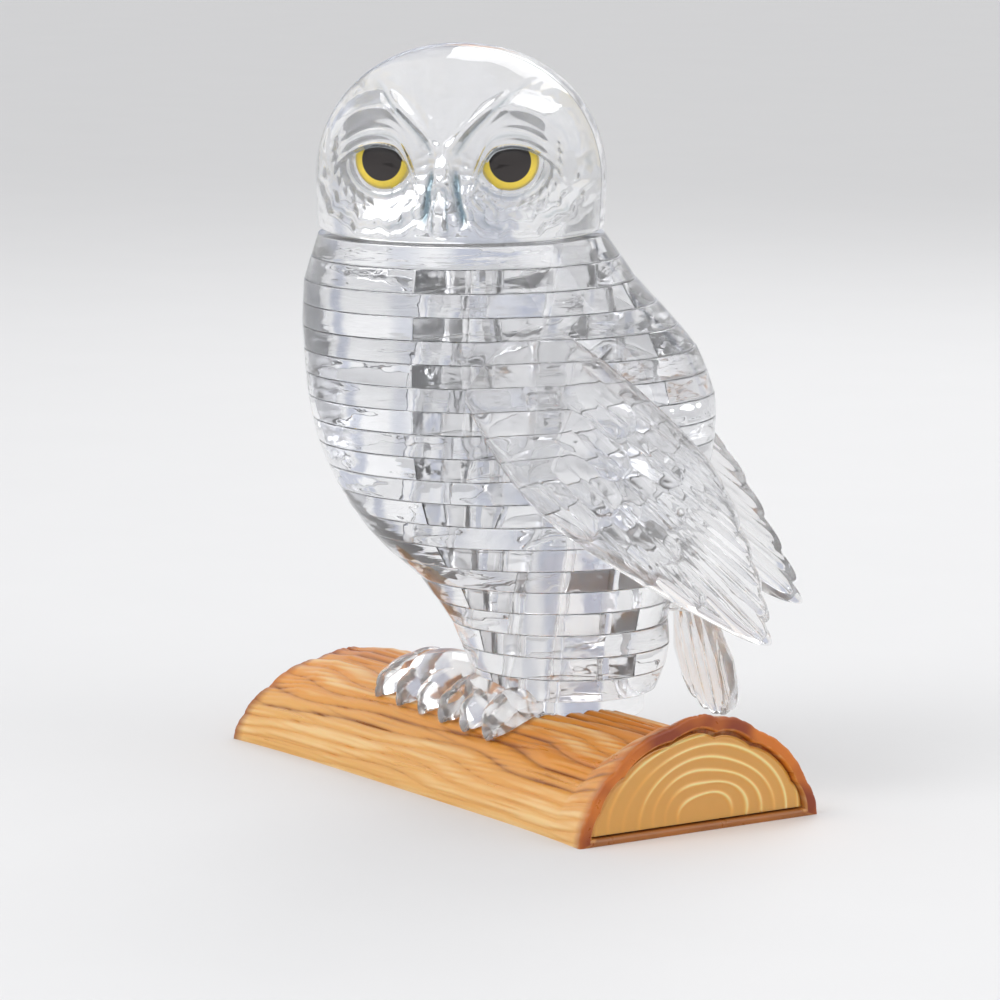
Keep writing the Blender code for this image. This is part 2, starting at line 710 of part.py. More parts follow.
def make_head(collection, frame):
    clear = material("head_plastic", CLEAR, 0.05)
    yellow = material("eye_print", YELLOW, 0.15)
    middle = Matrix.Translation((0, OWL_SECTIONS[-1][1], 0)) @ Matrix.Rotation(HEAD_TURN - OWL_TURN, 4, "Z")
    head = empty("head_frame", middle, collection, frame)
    wide = 2 * HEAD_RADIUS
    low, high = STACK_TOP - GAP, STACK_TOP + wide
    split = HEAD_SPLIT

    face = head_blank("head_face")
    join(face, box("front", (-wide, -wide, low), (wide, split - GAP / 2, high)), "INTERSECT")
    back = head_blank("head_back")
    join(back, box("rear", (-wide, split + GAP / 2, low), (wide, wide, high)), "INTERSECT")
    post = middle.inverted() @ Vector((0, POST_BACK, low))
    socket = cylinder("socket", HOLE_RADIUS, POST_IN_HEAD + 2 * GAP, Matrix.Translation(post))
    join(back, socket, "DIFFERENCE")

    for side in (1, -1):
        seat = eye_matrix(side)
        hollow = cylinder("hollow", DISC_RADIUS, DISC_DEPTH, seat @ Matrix.Translation((0, 0, GAP)))
        join(face, hollow, "DIFFERENCE")
    top = Matrix.Translation((0, -BEAK_FORWARD, STACK_TOP + BEAK_TOP))
    beak = cylinder(
        "beak", BEAK_RADIUS, BEAK_LENGTH, top @ Matrix.Rotation(math.pi - BEAK_LEAN, 4, "X"), BEAK_RADIUS / 4, 10
    )
    join(face, beak, "UNION")
    for side, name in ((1, "eye_left"), (-1, "eye_right")):
        seat = eye_matrix(side)
        well = seat @ Matrix.Translation((0, 0, GAP - EYE_THICKNESS))
        join(face, cylinder("well", EYE_RADIUS + GAP, 2 * EYE_THICKNESS, well), "DIFFERENCE")
        steps = np.linspace(0, QUARTER, 4)
        dome = [(EYE_RADIUS * math.sin(a), EYE_CROWN * math.cos(a)) for a in steps]
        eye = turned(name, [*dome, (EYE_RADIUS, 2 * GAP - EYE_THICKNESS), (0, 2 * GAP - EYE_THICKNESS)], 24)
        eye.data.transform(seat)
        finish(eye, collection, head, yellow)
    finish(face, collection, head, clear)
    finish(back, collection, head, clear)


def main():
    clear_scene()
    collection = bpy.data.collections.new("owl_on_log")
    bpy.context.scene.collection.children.link(collection)
    make_log(collection)
    frame = empty("owl_frame", OWL_FRAME, collection)
    make_stack(collection, frame)
    make_wings(collection, frame)
    make_tail(collection, frame)
    make_feet(collection, frame)
    make_head(collection, frame)


main()
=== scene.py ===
"""Clear puzzle owl on an amber log: fine surfaces and finishes on its fixed frame.

Every piece is a surface worked out over whole arrays of points, in metres, in the frame's own axes:
X along the log, Z up. The owl is built in its own axes, X to its left, Y to its back, then set on
the log. Each operator makes one piece, or a group of like pieces.
"""

import json
import math

import bmesh
import bpy
import numpy as np
from bpy.props import FloatProperty, FloatVectorProperty, IntProperty, PointerProperty
from mathutils import Matrix, Vector
from mathutils.geometry import tessellate_polygon


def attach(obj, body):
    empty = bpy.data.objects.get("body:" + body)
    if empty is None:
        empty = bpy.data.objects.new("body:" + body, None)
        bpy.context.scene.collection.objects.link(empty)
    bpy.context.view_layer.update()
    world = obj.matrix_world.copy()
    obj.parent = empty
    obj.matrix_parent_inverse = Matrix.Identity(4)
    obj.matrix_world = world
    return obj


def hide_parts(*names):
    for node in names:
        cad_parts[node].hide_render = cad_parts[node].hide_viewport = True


bl_info = {
    "name": "Clear Puzzle Owl",
    "version": (1, 0, 0),
    "blender": (4, 5, 0),
    "location": "View3D > Sidebar > Puzzle Owl",
    "description": "Builds the pieces of a clear puzzle owl on an amber log",
    "category": "Add Mesh",
}

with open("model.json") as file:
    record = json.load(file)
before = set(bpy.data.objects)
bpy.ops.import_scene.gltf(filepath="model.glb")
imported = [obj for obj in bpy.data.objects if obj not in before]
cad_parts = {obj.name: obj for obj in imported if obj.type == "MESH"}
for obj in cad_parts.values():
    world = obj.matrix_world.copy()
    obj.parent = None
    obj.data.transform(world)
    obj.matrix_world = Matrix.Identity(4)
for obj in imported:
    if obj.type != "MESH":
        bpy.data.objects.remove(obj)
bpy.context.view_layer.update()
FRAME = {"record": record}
MM = 0.001
QUARTER = math.pi / 2
# Points that agree to a ten-thousandth of a millimetre are one point.
MERGE = 1e-7
# How strongly each clear moulding's surface ripples, and its share of haze.
CASTS = {"body": (0.3, 0.05), "wings": (0.2, 0.08), "feet": (0.2, 0.08), "head": (0.25, 0.10)}


def length(name, description, default):
    return FloatProperty(name=name, description=description, default=default, unit="LENGTH", precision=5)


def turn(name, description, degrees):
    return FloatProperty(
        name=name, description=description, default=math.radians(degrees), subtype="ANGLE"
    )


def amount(name, description, default):
    return FloatProperty(name=name, description=description, default=default)


def count(name, description, default):
    return IntProperty(name=name, description=description, default=default, min=1)


def colour(name, description, default):
    return FloatVectorProperty(
        name=name, description=description, default=default, subtype="COLOR", size=3, min=0, max=1
    )


# ---------------------------------------------------------------- sizes and colours


class LogSizes(bpy.types.PropertyGroup):
    """Sizes of the log and its end plates."""

    long: length("Length", "Length of the log", 106 * MM)
    wide: length("Width", "Width of the log at its ends", 47.4 * MM)
    waist: length("Waist", "How much narrower the log is at its middle", 3 * MM)
    ridge: length("Ridge", "Height of the log's ridge", 14.9 * MM)
    rise_right: length("Right flare", "Rise of the ridge at the right end", 4.6 * MM)
    rise_left: length("Left flare", "Rise of the ridge at the left end", -1 * MM)
    flare: length("Flare length", "Length of the flare at each end", 9 * MM)
    power: amount("Arch power", "Power of the arch, 2 for an ellipse", 1.75)
    bark: length("Bark depth", "Depth of the broad bark furrows", 0.55 * MM)
    grain: length("Grain depth", "Depth of the fine bark grain", 0.6 * MM)
    scallop: length("Rim scallop", "Depth of the scallops round each end", 0.8 * MM)
    rim: length("Rim width", "Width of the rim round each end plate", 2.6 * MM)
    rim_round: length("Rim rounding", "Radius of the rim's two edges", 0.55 * MM)
    pocket: length("Pocket depth", "Depth of the pocket behind the rim", 2.2 * MM)
    plate: length("Plate thickness", "Thickness of an end plate", 1.4 * MM)
    floor: length("Rim floor", "Thickness of the rim under an end plate", 1.2 * MM)
    ring_relief: length("Ring relief", "Height of the growth rings", 0.22 * MM)
    seat: length("Seat depth", "How deep the owl stands in the log", 2.8 * MM)


class StackSizes(bpy.types.PropertyGroup):
    """Sizes of the owl's stack of levels."""

    x: length("Owl X", "Place of the owl along the log", 6 * MM)
    y: length("Owl Y", "Place of the owl across the log", 4 * MM)
    facing: turn("Owl turn", "Turn of the owl's body on the log", -30)
    gap: length("Gap", "Room between neighbouring pieces", 0.3 * MM)
    levels: count("Levels", "Number of levels in the stack", 21)
    pitch: length("Level pitch", "Height from one level to the next", 3.82 * MM)
    post: length("Post radius", "Radius of the centre post", 3 * MM)
    post_back: length("Post place", "Place of the post along the owl's depth", -2 * MM)
    post_in_log: length("Post in log", "Depth of the post in the log", 8 * MM)
    post_in_head: length("Post in head", "Depth of the post in the head", 5 * MM)
    first_cut: turn("First cut", "Direction of the lowest level's cut", 45)
    knob: length("Knob radius", "Largest radius of a jigsaw knob", 2.6 * MM)
    knob_share: amount("Knob share", "Knob radius as a share of the cut's length", 0.24)
    knob_reach: amount("Knob reach", "How far a knob stands out, in its own radii", 0.75)
    link_inset: length("Link inset", "Room between a link and the rim", 1.2 * MM)
    rim_round: length("Rim rounding", "How far each level's rim is rounded off", 0.2 * MM)
    seam: length("Seam", "Room that shows between two levels", 0.12 * MM)
    cut_round: length("Cut rounding", "How far the jigsaw edges are rounded off", 0.14 * MM)


class WingSizes(bpy.types.PropertyGroup):
    """Sizes of the wings and the tail."""

    side: length("Wing side", "Distance of a wing's plane from the owl's middle", 24 * MM)
    toe: turn("Wing toe", "Turn of a wing's plane", 8)
    thick: length("Thickness", "Thickness of a wing at its crown", 7.4 * MM)
    crown: length("Crown", "Half thickness of the wing's crowned form", 15.5 * MM)
    crown_long: length("Crown length", "Half length of the wing's crowned form", 43 * MM)
    crown_wide: length("Crown width", "Half width of the wing's crowned form", 31 * MM)
    sweep_right: length("Right sweep", "How much further back the right wing's tip lies", 10 * MM)
    feather: length("Feather relief", "Height of the feather lobes", 1.8 * MM)
    tongue_wide: length("Tongue width", "Width of a tongue", 5 * MM)
    tongue_high: length("Tongue height", "Height of a tongue", 1.6 * MM)
    tongue_deep: length("Tongue depth", "Depth of a tongue in the body", 4.5 * MM)
    tongue_back: length("Tongue place", "Place of a wing's tongue along the wing", -4 * MM)
    wing_level: count("Wing level", "Level that holds the wings", 14)
    tail_level: count("Tail level", "Level that holds the tail", 4)
    tail_wide: length("Tail width", "Width of the tail", 20 * MM)
    tail_long: length("Tail length", "Length of the tail", 21.5 * MM)
    tail_thick: length("Tail thickness", "Thickness of the tail", 2.8 * MM)
    tail_lean: turn("Tail lean", "Lean of the tail to the back", 14)
    tail_twist: turn("Tail twist", "Turn of the tail about the upright", 22)
    tail_off: length("Tail stand-off", "Distance of the tail from the body", 3.6 * MM)
    tail_rib: length("Tail ribs", "Depth of the tail's ribs", 0.34 * MM)


class FeetSizes(bpy.types.PropertyGroup):
    """Sizes of the feet."""

    turned: turn("Feet turn", "Turn of the feet on the log", -4)
    x: length("Feet X", "Place of the feet along the log", -3.6 * MM)
    y: length("Feet Y", "Place of the feet across the log", -7.6 * MM)
    apart: length("Feet apart", "Distance between the feet", 21.8 * MM)
    spread: length("Toe spread", "Distance between neighbouring toes", 6.6 * MM)
    fan: turn("Toe fan", "Turn of the outer toes", 8)
    dip: turn("Toe dip", "Slope of the toes", 20)
    half_wide: length("Toe half width", "Half the width of a toe", 3.5 * MM)
    half_long: length("Toe half length", "Half the length of a toe", 7.2 * MM)
    half_high: length("Toe half height", "Half the height of a toe", 4 * MM)
    high: length("Toe height", "Height of the toes' middles", 14.4 * MM)
    roll: amount("Toe rolls", "Depth of the rolls over a toe, as a share of its radius", 0.06)
    claw: length("Claw radius", "Radius of a claw at its root", 1.3 * MM)
    claw_long: length("Claw length", "Length of a claw", 3.2 * MM)
    ankle_back: length("Ankle place", "How far the ankle lies behind the toes", 2.2 * MM)
    ankle_rise: length("Ankle rise", "How far the ankle lies above the toes", 0.8 * MM)
    shin: length("Shin radius", "Radius of the far foot's shin", 3.1 * MM)


class HeadSizes(bpy.types.PropertyGroup):
    """Sizes of the head, face and eyes."""

    facing: turn("Head turn", "Direction that the head faces", 49)
    back: length("Head place", "Place of the head's middle along the owl's depth", -15.7 * MM)
    radius: length("Head radius", "Radius of the head", 24 * MM)
    skirt: length("Skirt", "Height of the head's upright skirt", 8.4 * MM)
    dome: length("Dome", "Height of the dome above the skirt", 22.4 * MM)
    power: amount("Dome power", "Power of the dome's arch", 2.1)
    split: length("Split", "Place of the joint between face and back", -4 * MM)
    eye_apart: length("Eyes apart", "Distance between the eyes", 20.6 * MM)
    eye_high: length("Eye height", "Height of the eyes above the stack", 13.2 * MM)
    eye_radius: length("Eye radius", "Radius of an eye", 4.75 * MM)
    eye_thick: length("Eye thickness", "Thickness of an eye at its rim", 1.3 * MM)
    eye_crown: length("Eye crown", "Height of an eye's dome", 0.95 * MM)
    eye_out: turn("Eye turn", "Outward turn of an eye", 12)
    eye_forward: length("Eye place", "Distance of the eyes in front of the head's middle", 18.4 * MM)
    lid: length("Lid height", "Height of the lid's arch above an eye's middle", 2.1 * MM)
    disc: length("Disc radius", "Radius of the round hollow about each eye", 10.6 * MM)
    beak_out: length("Beak height", "How far the beak stands out", 5.2 * MM)
    beak_wide: length("Beak half width", "Half the width of the beak at its foot", 3.1 * MM)


class Finishes(bpy.types.PropertyGroup):
    """Colours and finishes."""

    clear: colour("Clear plastic", "Tint of the clear plastic", (0.998, 0.998, 0.999))
    # Painted shade: the dark tint laid into the creases of the face, where shade falls in the clear plastic.
    painted_crease_shade: colour("Creases", "Tint deep in the creases of the face", (0.10, 0.20, 0.25))
    depth: colour("Depth", "Colour that the clear plastic takes on with depth", (0.62, 0.68, 0.84))
    density: amount("Density", "How fast the clear plastic takes on its depth colour", 3.0)
    amber: colour("Amber", "Colour of the log", (0.84, 0.34, 0.045))
    amber_pale: colour("Pale amber", "Colour of the log towards its foot", (0.86, 0.45, 0.12))
    # Painted highlight: the cream colour laid on the bark's highest lines.
    crest_highlight: colour("Crest", "Colour of the bark's highest lines", (1.0, 0.68, 0.32))
    amber_deep: colour("Deep amber", "Colour of the log towards its ridge", (0.62, 0.17, 0.012))
    rim: colour("Rim", "Colour of the log's scalloped rim", (0.25, 0.035, 0.001))
    rim_light: colour("Rim highlights", "Lighter colour of the log's scalloped rim", (0.62, 0.17, 0.008))
    plate: colour("End plate", "Colour of the end plates", (0.90, 0.42, 0.085))
    # Partly the rings' own pattern, partly a painted highlight: the pale colour of the raised growth rings.
    ring: colour("Growth ring", "Colour of the growth rings", (1.0, 0.72, 0.30))
    yellow: colour("Iris", "Colour of the iris", (0.95, 0.71, 0.08))
    pupil: colour("Pupil", "Colour of the pupil", (0.022, 0.016, 0.015))
    floor: colour("Floor", "Colour of the floor", (0.79, 0.79, 0.80))


class StageSizes(bpy.types.PropertyGroup):
    """The camera, lamps and floor."""

    azimuth: turn("Camera azimuth", "Direction of the camera about the object", 56.1)
    elevation: turn("Camera elevation", "Height of the camera above the horizon", 9)
    far: length("Camera distance", "Distance of the camera", 0.9)
    aim: length("Aim height", "Height that the camera looks at", 60 * MM)
    aside: length("Camera aside", "Sideways shift of the camera", -2.63 * MM)
    above: length("Camera up", "Upward shift of the camera", -12.98 * MM)
    bounces: count("Light bounces", "Most surfaces that light passes in the nested clear pieces", 28)
    lens: amount("Lens", "Focal length on a 36 mm sensor", 194.4)
    key: amount("Key lamp", "Power of the key lamp in watts", 1.6)
    fill: amount("Fill lamp", "Power of the fill lamp in watts", 0.9)
    back: amount("Back lamp", "Power of the back lamp in watts", 1.0)
    sky: amount("Sky", "Strength of the even light", 0.78)
    glow: amount("Glow", "Strength of the even light in gloss and clear plastic", 1.0)
    card: colour("Cards", "Colour of the grey cards seen in the clear plastic", (0.56, 0.59, 0.69))


# ---------------------------------------------------------------- meshes


def merge(points):
    """Finds points that agree to MERGE: the first of each group, and each point's group."""
    steps = np.round(points / MERGE).astype(np.int64)
    _, first, index = np.unique(steps, axis=0, return_index=True, return_inverse=True)
    return first, index.reshape(-1)


def put_mesh(name, verts, faces, flat=()):
    """A mesh object from an array of points and a list of faces.

    Points that agree become one, faces that collapse are dropped, and normals are turned outwards.
    flat lists the faces that stay flat-shaded.
    """
    verts = np.asarray(verts, float).reshape(-1, 3)
    first, index = merge(verts)
    flat = set(flat)
    kept, smooth = [], []
    for i, face in enumerate(faces):
        ring = [int(index[v]) for v in face]
        ring = [v for j, v in enumerate(ring) if v != ring[j - 1]]
        if len(ring) > 2:
            kept.append(ring)
            smooth.append(i not in flat)
    mesh = bpy.data.meshes.new(name)
    mesh.from_pydata(verts[first].tolist(), [], kept)
    mesh.polygons.foreach_set("use_smooth", smooth)
    mesh.validate()
    turn_outwards(mesh)
    obj = bpy.data.objects.new(name, mesh)
    bpy.context.scene.collection.objects.link(obj)
    return obj


def turn_outwards(mesh):
    """Turns every face of a closed mesh outwards."""
    made = bmesh.new()
    made.from_mesh(mesh)
    bmesh.ops.recalc_face_normals(made, faces=made.faces)
    made.to_mesh(mesh)
    made.free()


def grid_faces(rows, columns, start=0, closed=True):
    """Quads between the rows of a grid of points, whose columns close into rings."""
    i, j = np.meshgrid(np.arange(rows - 1), np.arange(columns if closed else columns - 1), indexing="ij")
    after = (j + 1) % columns
    low, high = i * columns, (i + 1) * columns
    quads = np.stack([low + j, low + after, high + after, high + j], -1)
    return (quads.reshape(-1, 4) + start).tolist()


def cap_faces(loops, starts):
    """Triangles that fill flat loops; the first is the rim and the others are holes in it."""
    where = np.concatenate([start + np.arange(len(loop)) for loop, start in zip(loops, starts)])
    found = tessellate_polygon([[Vector(point) for point in loop] for loop in loops])
    return [[int(where[v]) for v in triangle] for triangle in found]


def move(obj, matrix):
    """Turns and shifts a piece's own points; its object stays at the origin."""
    obj.data.transform(matrix)
    if matrix.determinant() < 0:
        obj.data.flip_normals()
    obj.data.update()
    return obj


def join(obj, tool, operation):
    """Boolean of two closed pieces; the tool is used up."""
    modifier = obj.modifiers.new("join", "BOOLEAN")
    modifier.operation = operation
    modifier.solver = "MANIFOLD"
    modifier.object = tool
    bpy.context.view_layer.update()
    graph = bpy.context.evaluated_depsgraph_get()
    made = bpy.data.meshes.new_from_object(obj.evaluated_get(graph), depsgraph=graph)
    obj.modifiers.clear()
    if not made.polygons:
        raise RuntimeError(f"{obj.name}: the Boolean left nothing")
    obj.data = made
    bpy.data.objects.remove(tool)
    return obj


def sharpen(obj, degrees=40):
    """Smooth shading with a crease at each sharp edge."""
    obj.data.shade_smooth()
    obj.data.set_sharp_from_angle(angle=math.radians(degrees))
    return obj


def dress(obj, look, body, slot, *nodes):
    """Gives a piece its finish, sets it on its body and lets it stand for its CAD nodes."""
    obj.data.materials.clear()
    obj.data.materials.append(look)
    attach(obj, body)
    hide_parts(*nodes)
    return obj


def signed_power(value, power):
    """A value's power that keeps its sign."""
    return np.sign(value) * np.abs(value) ** power


def circle(steps):
    """Even steps of angle once round; the last stops a step short of the first."""
    return np.linspace(0, 2 * math.pi, steps, endpoint=False)


def smooth_step(low, high, value):
    """0 below low and 1 above high, with the cubic 3 s^2 - 2 s^3 between."""
    share = np.clip((value - low) / (high - low), 0, 1)
    return share * share * (3 - 2 * share)


def body_of(cad):
    """The body that a CAD node rides on."""
    bodies = FRAME["record"]["behaviour"]["bodies"]
    return next(body for body, nodes in bodies.items() if cad in nodes)


# ---------------------------------------------------------------- finishes


def new_look(name):
    """A node material that holds only its output, and its tree. The tree is None where the
    material has been made before."""
    made = bpy.data.materials.get(name)
    if made:
        return made, None
    made = bpy.data.materials.new(name)
    made.use_nodes = True
    made.node_tree.nodes.clear()
    made.node_tree.nodes.new("ShaderNodeOutputMaterial")
    return made, made.node_tree


def node(tree, kind, inputs=None, **settings):
    """Adds a node; each input is a value or another node's socket."""
    made = tree.nodes.new("ShaderNode" + kind)
    for key, value in settings.items():
        setattr(made, key, value)
    for key, value in (inputs or {}).items():
        socket = made.inputs[key]
        if isinstance(value, bpy.types.NodeSocket):
            tree.links.new(value, socket)
        else:
            socket.default_value = value
    return made


def carried(tree, name):
    """Reads one of the values that a piece carries at its points."""
    return node(tree, "Attribute", attribute_name=name).outputs["Fac"]


def mix(tree, share, under, over, **settings):
    """Mixes two colours, each a tint or a socket."""
    inputs = {"Factor": share}
    for key, tint in (("A", under), ("B", over)):
        inputs[key] = tint if isinstance(tint, bpy.types.NodeSocket) else (*tint, 1)
    return node(tree, "Mix", inputs, data_type="RGBA", **settings).outputs["Result"]


def ramp(tree, fac, *stops):
    """A colour ramp from (place, colour) stops."""
    made = node(tree, "ValToRGB", {"Fac": fac})
    elements = made.color_ramp.elements
    while len(elements) < len(stops):
        elements.new(0.5)
    for element, (place, tint) in zip(elements, stops):
        element.position = place
        element.color = (*tint, 1)
    return made.outputs["Color"]


def finish_look(tree, shader, absorb=None):
    """Joins the shader to the output; absorb is the colour and density of the depth, if any."""
    out = next(n for n in tree.nodes if n.type == "OUTPUT_MATERIAL")
    tree.links.new(shader.outputs[0], out.inputs["Surface"])
    if absorb:
        tint, density = absorb
        depth = node(tree, "VolumeAbsorption", {"Color": (*tint, 1), "Density": density})
        tree.links.new(depth.outputs[0], out.inputs["Volume"])


def clear_look(finishes, part, roughness=0.015):
    """Clear cast plastic: faint ripples and flow lines in its surface, a trace of haze, and painted shade in
    the face's creases.
    """
    ripple, haze = CASTS[part]
    made, tree = new_look(f"cast_{part}")
    if tree is None:
        return made
    place = node(tree, "TexCoord").outputs["Object"]
    flow = node(tree, "Mapping", {"Vector": place, "Scale": (1, 1, 1.6)}).outputs["Vector"]
    swell = node(tree, "TexNoise", {"Vector": flow, "Scale": 150.0, "Detail": 2.0, "Roughness": 0.45})
    fine = node(tree, "TexNoise", {"Vector": place, "Scale": 900.0, "Detail": 2.0})
    low = node(
        tree, "Bump", {"Strength": ripple, "Distance": 0.0006, "Height": swell.outputs["Fac"]}
    )
    bump = node(
        tree,
        "Bump",
        {
            "Strength": 0.03,
            "Distance": 0.00005,
            "Height": fine.outputs["Fac"],
            "Normal": low.outputs["Normal"],
        },
    )
    rough = node(
        tree,
        "MapRange",
        {"Value": fine.outputs["Fac"], "To Min": roughness * 0.6, "To Max": roughness * 1.4},
    )
    tint = ramp(
        tree,
        swell.outputs["Fac"],
        (0.3, tuple(c * 0.985 for c in finishes.clear)),
        (0.7, tuple(finishes.clear)),
    )
    # Painted shade: each point of the face is darkened towards the crease tint by the share that it carries.
    tint = mix(tree, carried(tree, "painted_crease_shade"), tint, finishes.painted_crease_shade)
    shader = node(
        tree,
        "BsdfPrincipled",
        {
            "Base Color": tint,
            "Roughness": rough.outputs["Result"],
            "IOR": 1.49,
            "Transmission Weight": 1.0 - haze,
            "Normal": bump.outputs["Normal"],
        },
    )
    finish_look(tree, shader, (tuple(finishes.depth), finishes.density))
    return made


def bark_look(finishes):
    """Amber plastic: painted highlights on the bark's crests and painted shade in its furrows, the rim dark,
    with wavy grain along the log.
    """
    made, tree = new_look("amber_bark")
    if tree is None:
        return made
    place = node(tree, "TexCoord").outputs["Object"]
    relief = carried(tree, "relief")
    rim = carried(tree, "rim")
    stretched = node(tree, "Mapping", {"Vector": place, "Scale": (0.12, 1.0, 1.0)}).outputs["Vector"]
    grain = node(
        tree,
        "TexNoise",
        {"Vector": stretched, "Scale": 420.0, "Detail": 3.0, "Roughness": 0.5, "Distortion": 0.2},
    ).outputs["Fac"]
    broad = node(tree, "TexNoise", {"Vector": stretched, "Scale": 90.0, "Detail": 2.0}).outputs["Fac"]
    # The ground runs from pale amber at the foot to deep amber at the ridge, broken by broad noise.
    up = node(tree, "SeparateXYZ", {"Vector": place}).outputs["Z"]
    high = node(tree, "MapRange", {"Value": up, "From Min": 0.003, "From Max": 0.015}).outputs["Result"]
    darker_share = node(tree, "Math", {0: broad, 1: 1.3, 2: high}, operation="MULTIPLY_ADD").outputs[0]
    ground = ramp(
        tree,
        node(tree, "Math", {0: darker_share, 1: 0.5}, operation="MULTIPLY").outputs[0],
        (0.38, tuple(finishes.amber_pale)),
        (0.66, tuple(finishes.amber)),
        (0.95, tuple(finishes.amber_deep)),
    )
    # Low in the furrows and high on the crests, with grain over it. Below, it darkens the furrows as painted
    # shade and lights the crests as a painted highlight.
    grain_and_relief_light = node(tree, "Math", {0: grain, 1: 0.55, 2: relief}, operation="MULTIPLY_ADD").outputs[0]
    furrow_shade = ramp(
        tree,
        grain_and_relief_light,
        (0.55, (0.42, 0.30, 0.22)),
        (0.85, (0.93, 0.90, 0.86)),
        (1.12, (1.0, 1.0, 1.0)),
    )
    body = mix(tree, 1.0, ground, furrow_shade, blend_type="MULTIPLY")
    # Painted highlight on the bark's highest lines.
    crest_highlight = node(tree, "MapRange", {"Value": grain_and_relief_light, "From Min": 1.08, "From Max": 1.3, "To Max": 0.75})
    body = mix(tree, crest_highlight.outputs["Result"], body, finishes.crest_highlight)
    edge = ramp(tree, broad, (0.42, tuple(finishes.rim)), (0.62, tuple(finishes.rim_light)))
    base = mix(tree, rim, body, edge)
    bump = node(tree, "Bump", {"Strength": 0.35, "Distance": 0.0002, "Height": grain})
    rough = node(tree, "MapRange", {"Value": grain, "To Min": 0.2, "To Max": 0.42})
    shader = node(
        tree,
        "BsdfPrincipled",
        {
            "Base Color": base,
            "Roughness": rough.outputs["Result"],
            "IOR": 1.49,
            "Transmission Weight": 0.08,
            "Subsurface Weight": 0.15,
            "Subsurface Radius": (0.004, 0.0015, 0.0004),
            "Subsurface Scale": 1.0,
            "Coat Weight": 0.08,
            "Coat Roughness": 0.15,
            "Normal": bump.outputs["Normal"],
        },
    )
    finish_look(tree, shader)
    return made


def plate_look(finishes):
    """Light amber plastic whose raised growth rings are paler than the ground, partly their pattern and
    partly a painted highlight.
    """
    made, tree = new_look("amber_plate")
    if tree is None:
        return made
    place = node(tree, "TexCoord").outputs["Object"]
    ring = carried(tree, "ring")
    cloud = node(tree, "TexNoise", {"Vector": place, "Scale": 110.0, "Detail": 3.0})
    fine = node(tree, "TexNoise", {"Vector": place, "Scale": 1400.0, "Detail": 2.0})
    lit = node(
        tree, "MapRange", {"Value": cloud.outputs["Fac"], "To Min": -0.12, "To Max": 0.2}
    ).outputs["Result"]
    shade = node(tree, "Math", {0: ring, 1: lit}, operation="ADD").outputs[0]
    # Painted highlight, partly the rings' pattern: points on the rings take the pale ring colour.
    base = ramp(
        tree,
        shade,
        (0.0, tuple(c * 0.82 for c in finishes.plate)),
        (0.35, tuple(finishes.plate)),
        (0.9, tuple(finishes.ring)),
    )
    bump = node(tree, "Bump", {"Strength": 0.15, "Distance": 0.0001, "Height": fine.outputs["Fac"]})
    shader = node(
        tree,
        "BsdfPrincipled",
        {
            "Base Color": base,
            "Roughness": 0.3,
            "IOR": 1.49,
            "Transmission Weight": 0.1,
            "Subsurface Weight": 0.4,
            "Subsurface Radius": (0.005, 0.0025, 0.001),
            "Subsurface Scale": 1.0,
            "Coat Weight": 0.3,
            "Coat Roughness": 0.15,
            "Normal": bump.outputs["Normal"],
        },
    )
    finish_look(tree, shader)
    return made


def eye_look(finishes):
    """A printed iris ring about a dark pupil, under a clear coat."""
    made, tree = new_look("printed_eye")
    if tree is None:
        return made
    share = carried(tree, "iris")
    place = node(tree, "TexCoord").outputs["Object"]
    fleck = node(tree, "TexNoise", {"Vector": place, "Scale": 2600.0, "Detail": 3.0})
    tint = ramp(
        tree,
        fleck.outputs["Fac"],
        (0.3, tuple(c * 0.93 for c in finishes.yellow)),
        (0.7, tuple(finishes.yellow)),
    )
    ring = node(tree, "MapRange", {"Value": share, "From Min": 0.705, "From Max": 0.725})
    base = mix(tree, ring.outputs["Result"], finishes.pupil, tint)
    shader = node(
        tree,
        "BsdfPrincipled",
        {"Base Color": base, "Roughness": 0.4, "Coat Weight": 0.35, "Coat Roughness": 0.12, "IOR": 1.45},
    )
    finish_look(tree, shader)
    return made


# ---------------------------------------------------------------- the owl's form

# Share of the stack's height, then the middle, half depth and half width of its oval, in mm.
OWL_SECTIONS = np.array(
    (
        (0.00, 2.0, 11.0, 15.0),
        (0.05, 2.1, 14.8, 16.4),
        (0.12, 2.0, 17.2, 17.6),
        (0.20, 0.4, 18.3, 18.2),
        (0.29, -1.2, 22.0, 21.0),
        (0.36, -3.9, 26.0, 23.8),
        (0.45, -5.4, 29.8, 26.0),
        (0.55, -6.4, 32.7, 27.3),
        (0.65, -7.1, 33.9, 27.5),
        (0.75, -8.9, 32.9, 27.0),
        (0.82, -11.3, 30.8, 26.0),
        (0.90, -14.2, 27.6, 25.0),
        (1.00, -15.7, 23.6, 23.7),
    )
)
# Outline of a wing as it lies against the body, (back, height) in mm.
WING_OUTLINE = np.array(
    (
        (-5.9, 79.8),
        (-16.4, 70.2),
        (-15.4, 64.5),
        (-9.5, 54.4),
        (-0.9, 45.6),
        (10.6, 37.8),
        (20.7, 31.8),
        (31.5, 26.3),
        (34.4, 28.0),
        (30.5, 42.0),
        (26.0, 53.0),
        (19.3, 61.7),
        (5.5, 74.0),
    )
)
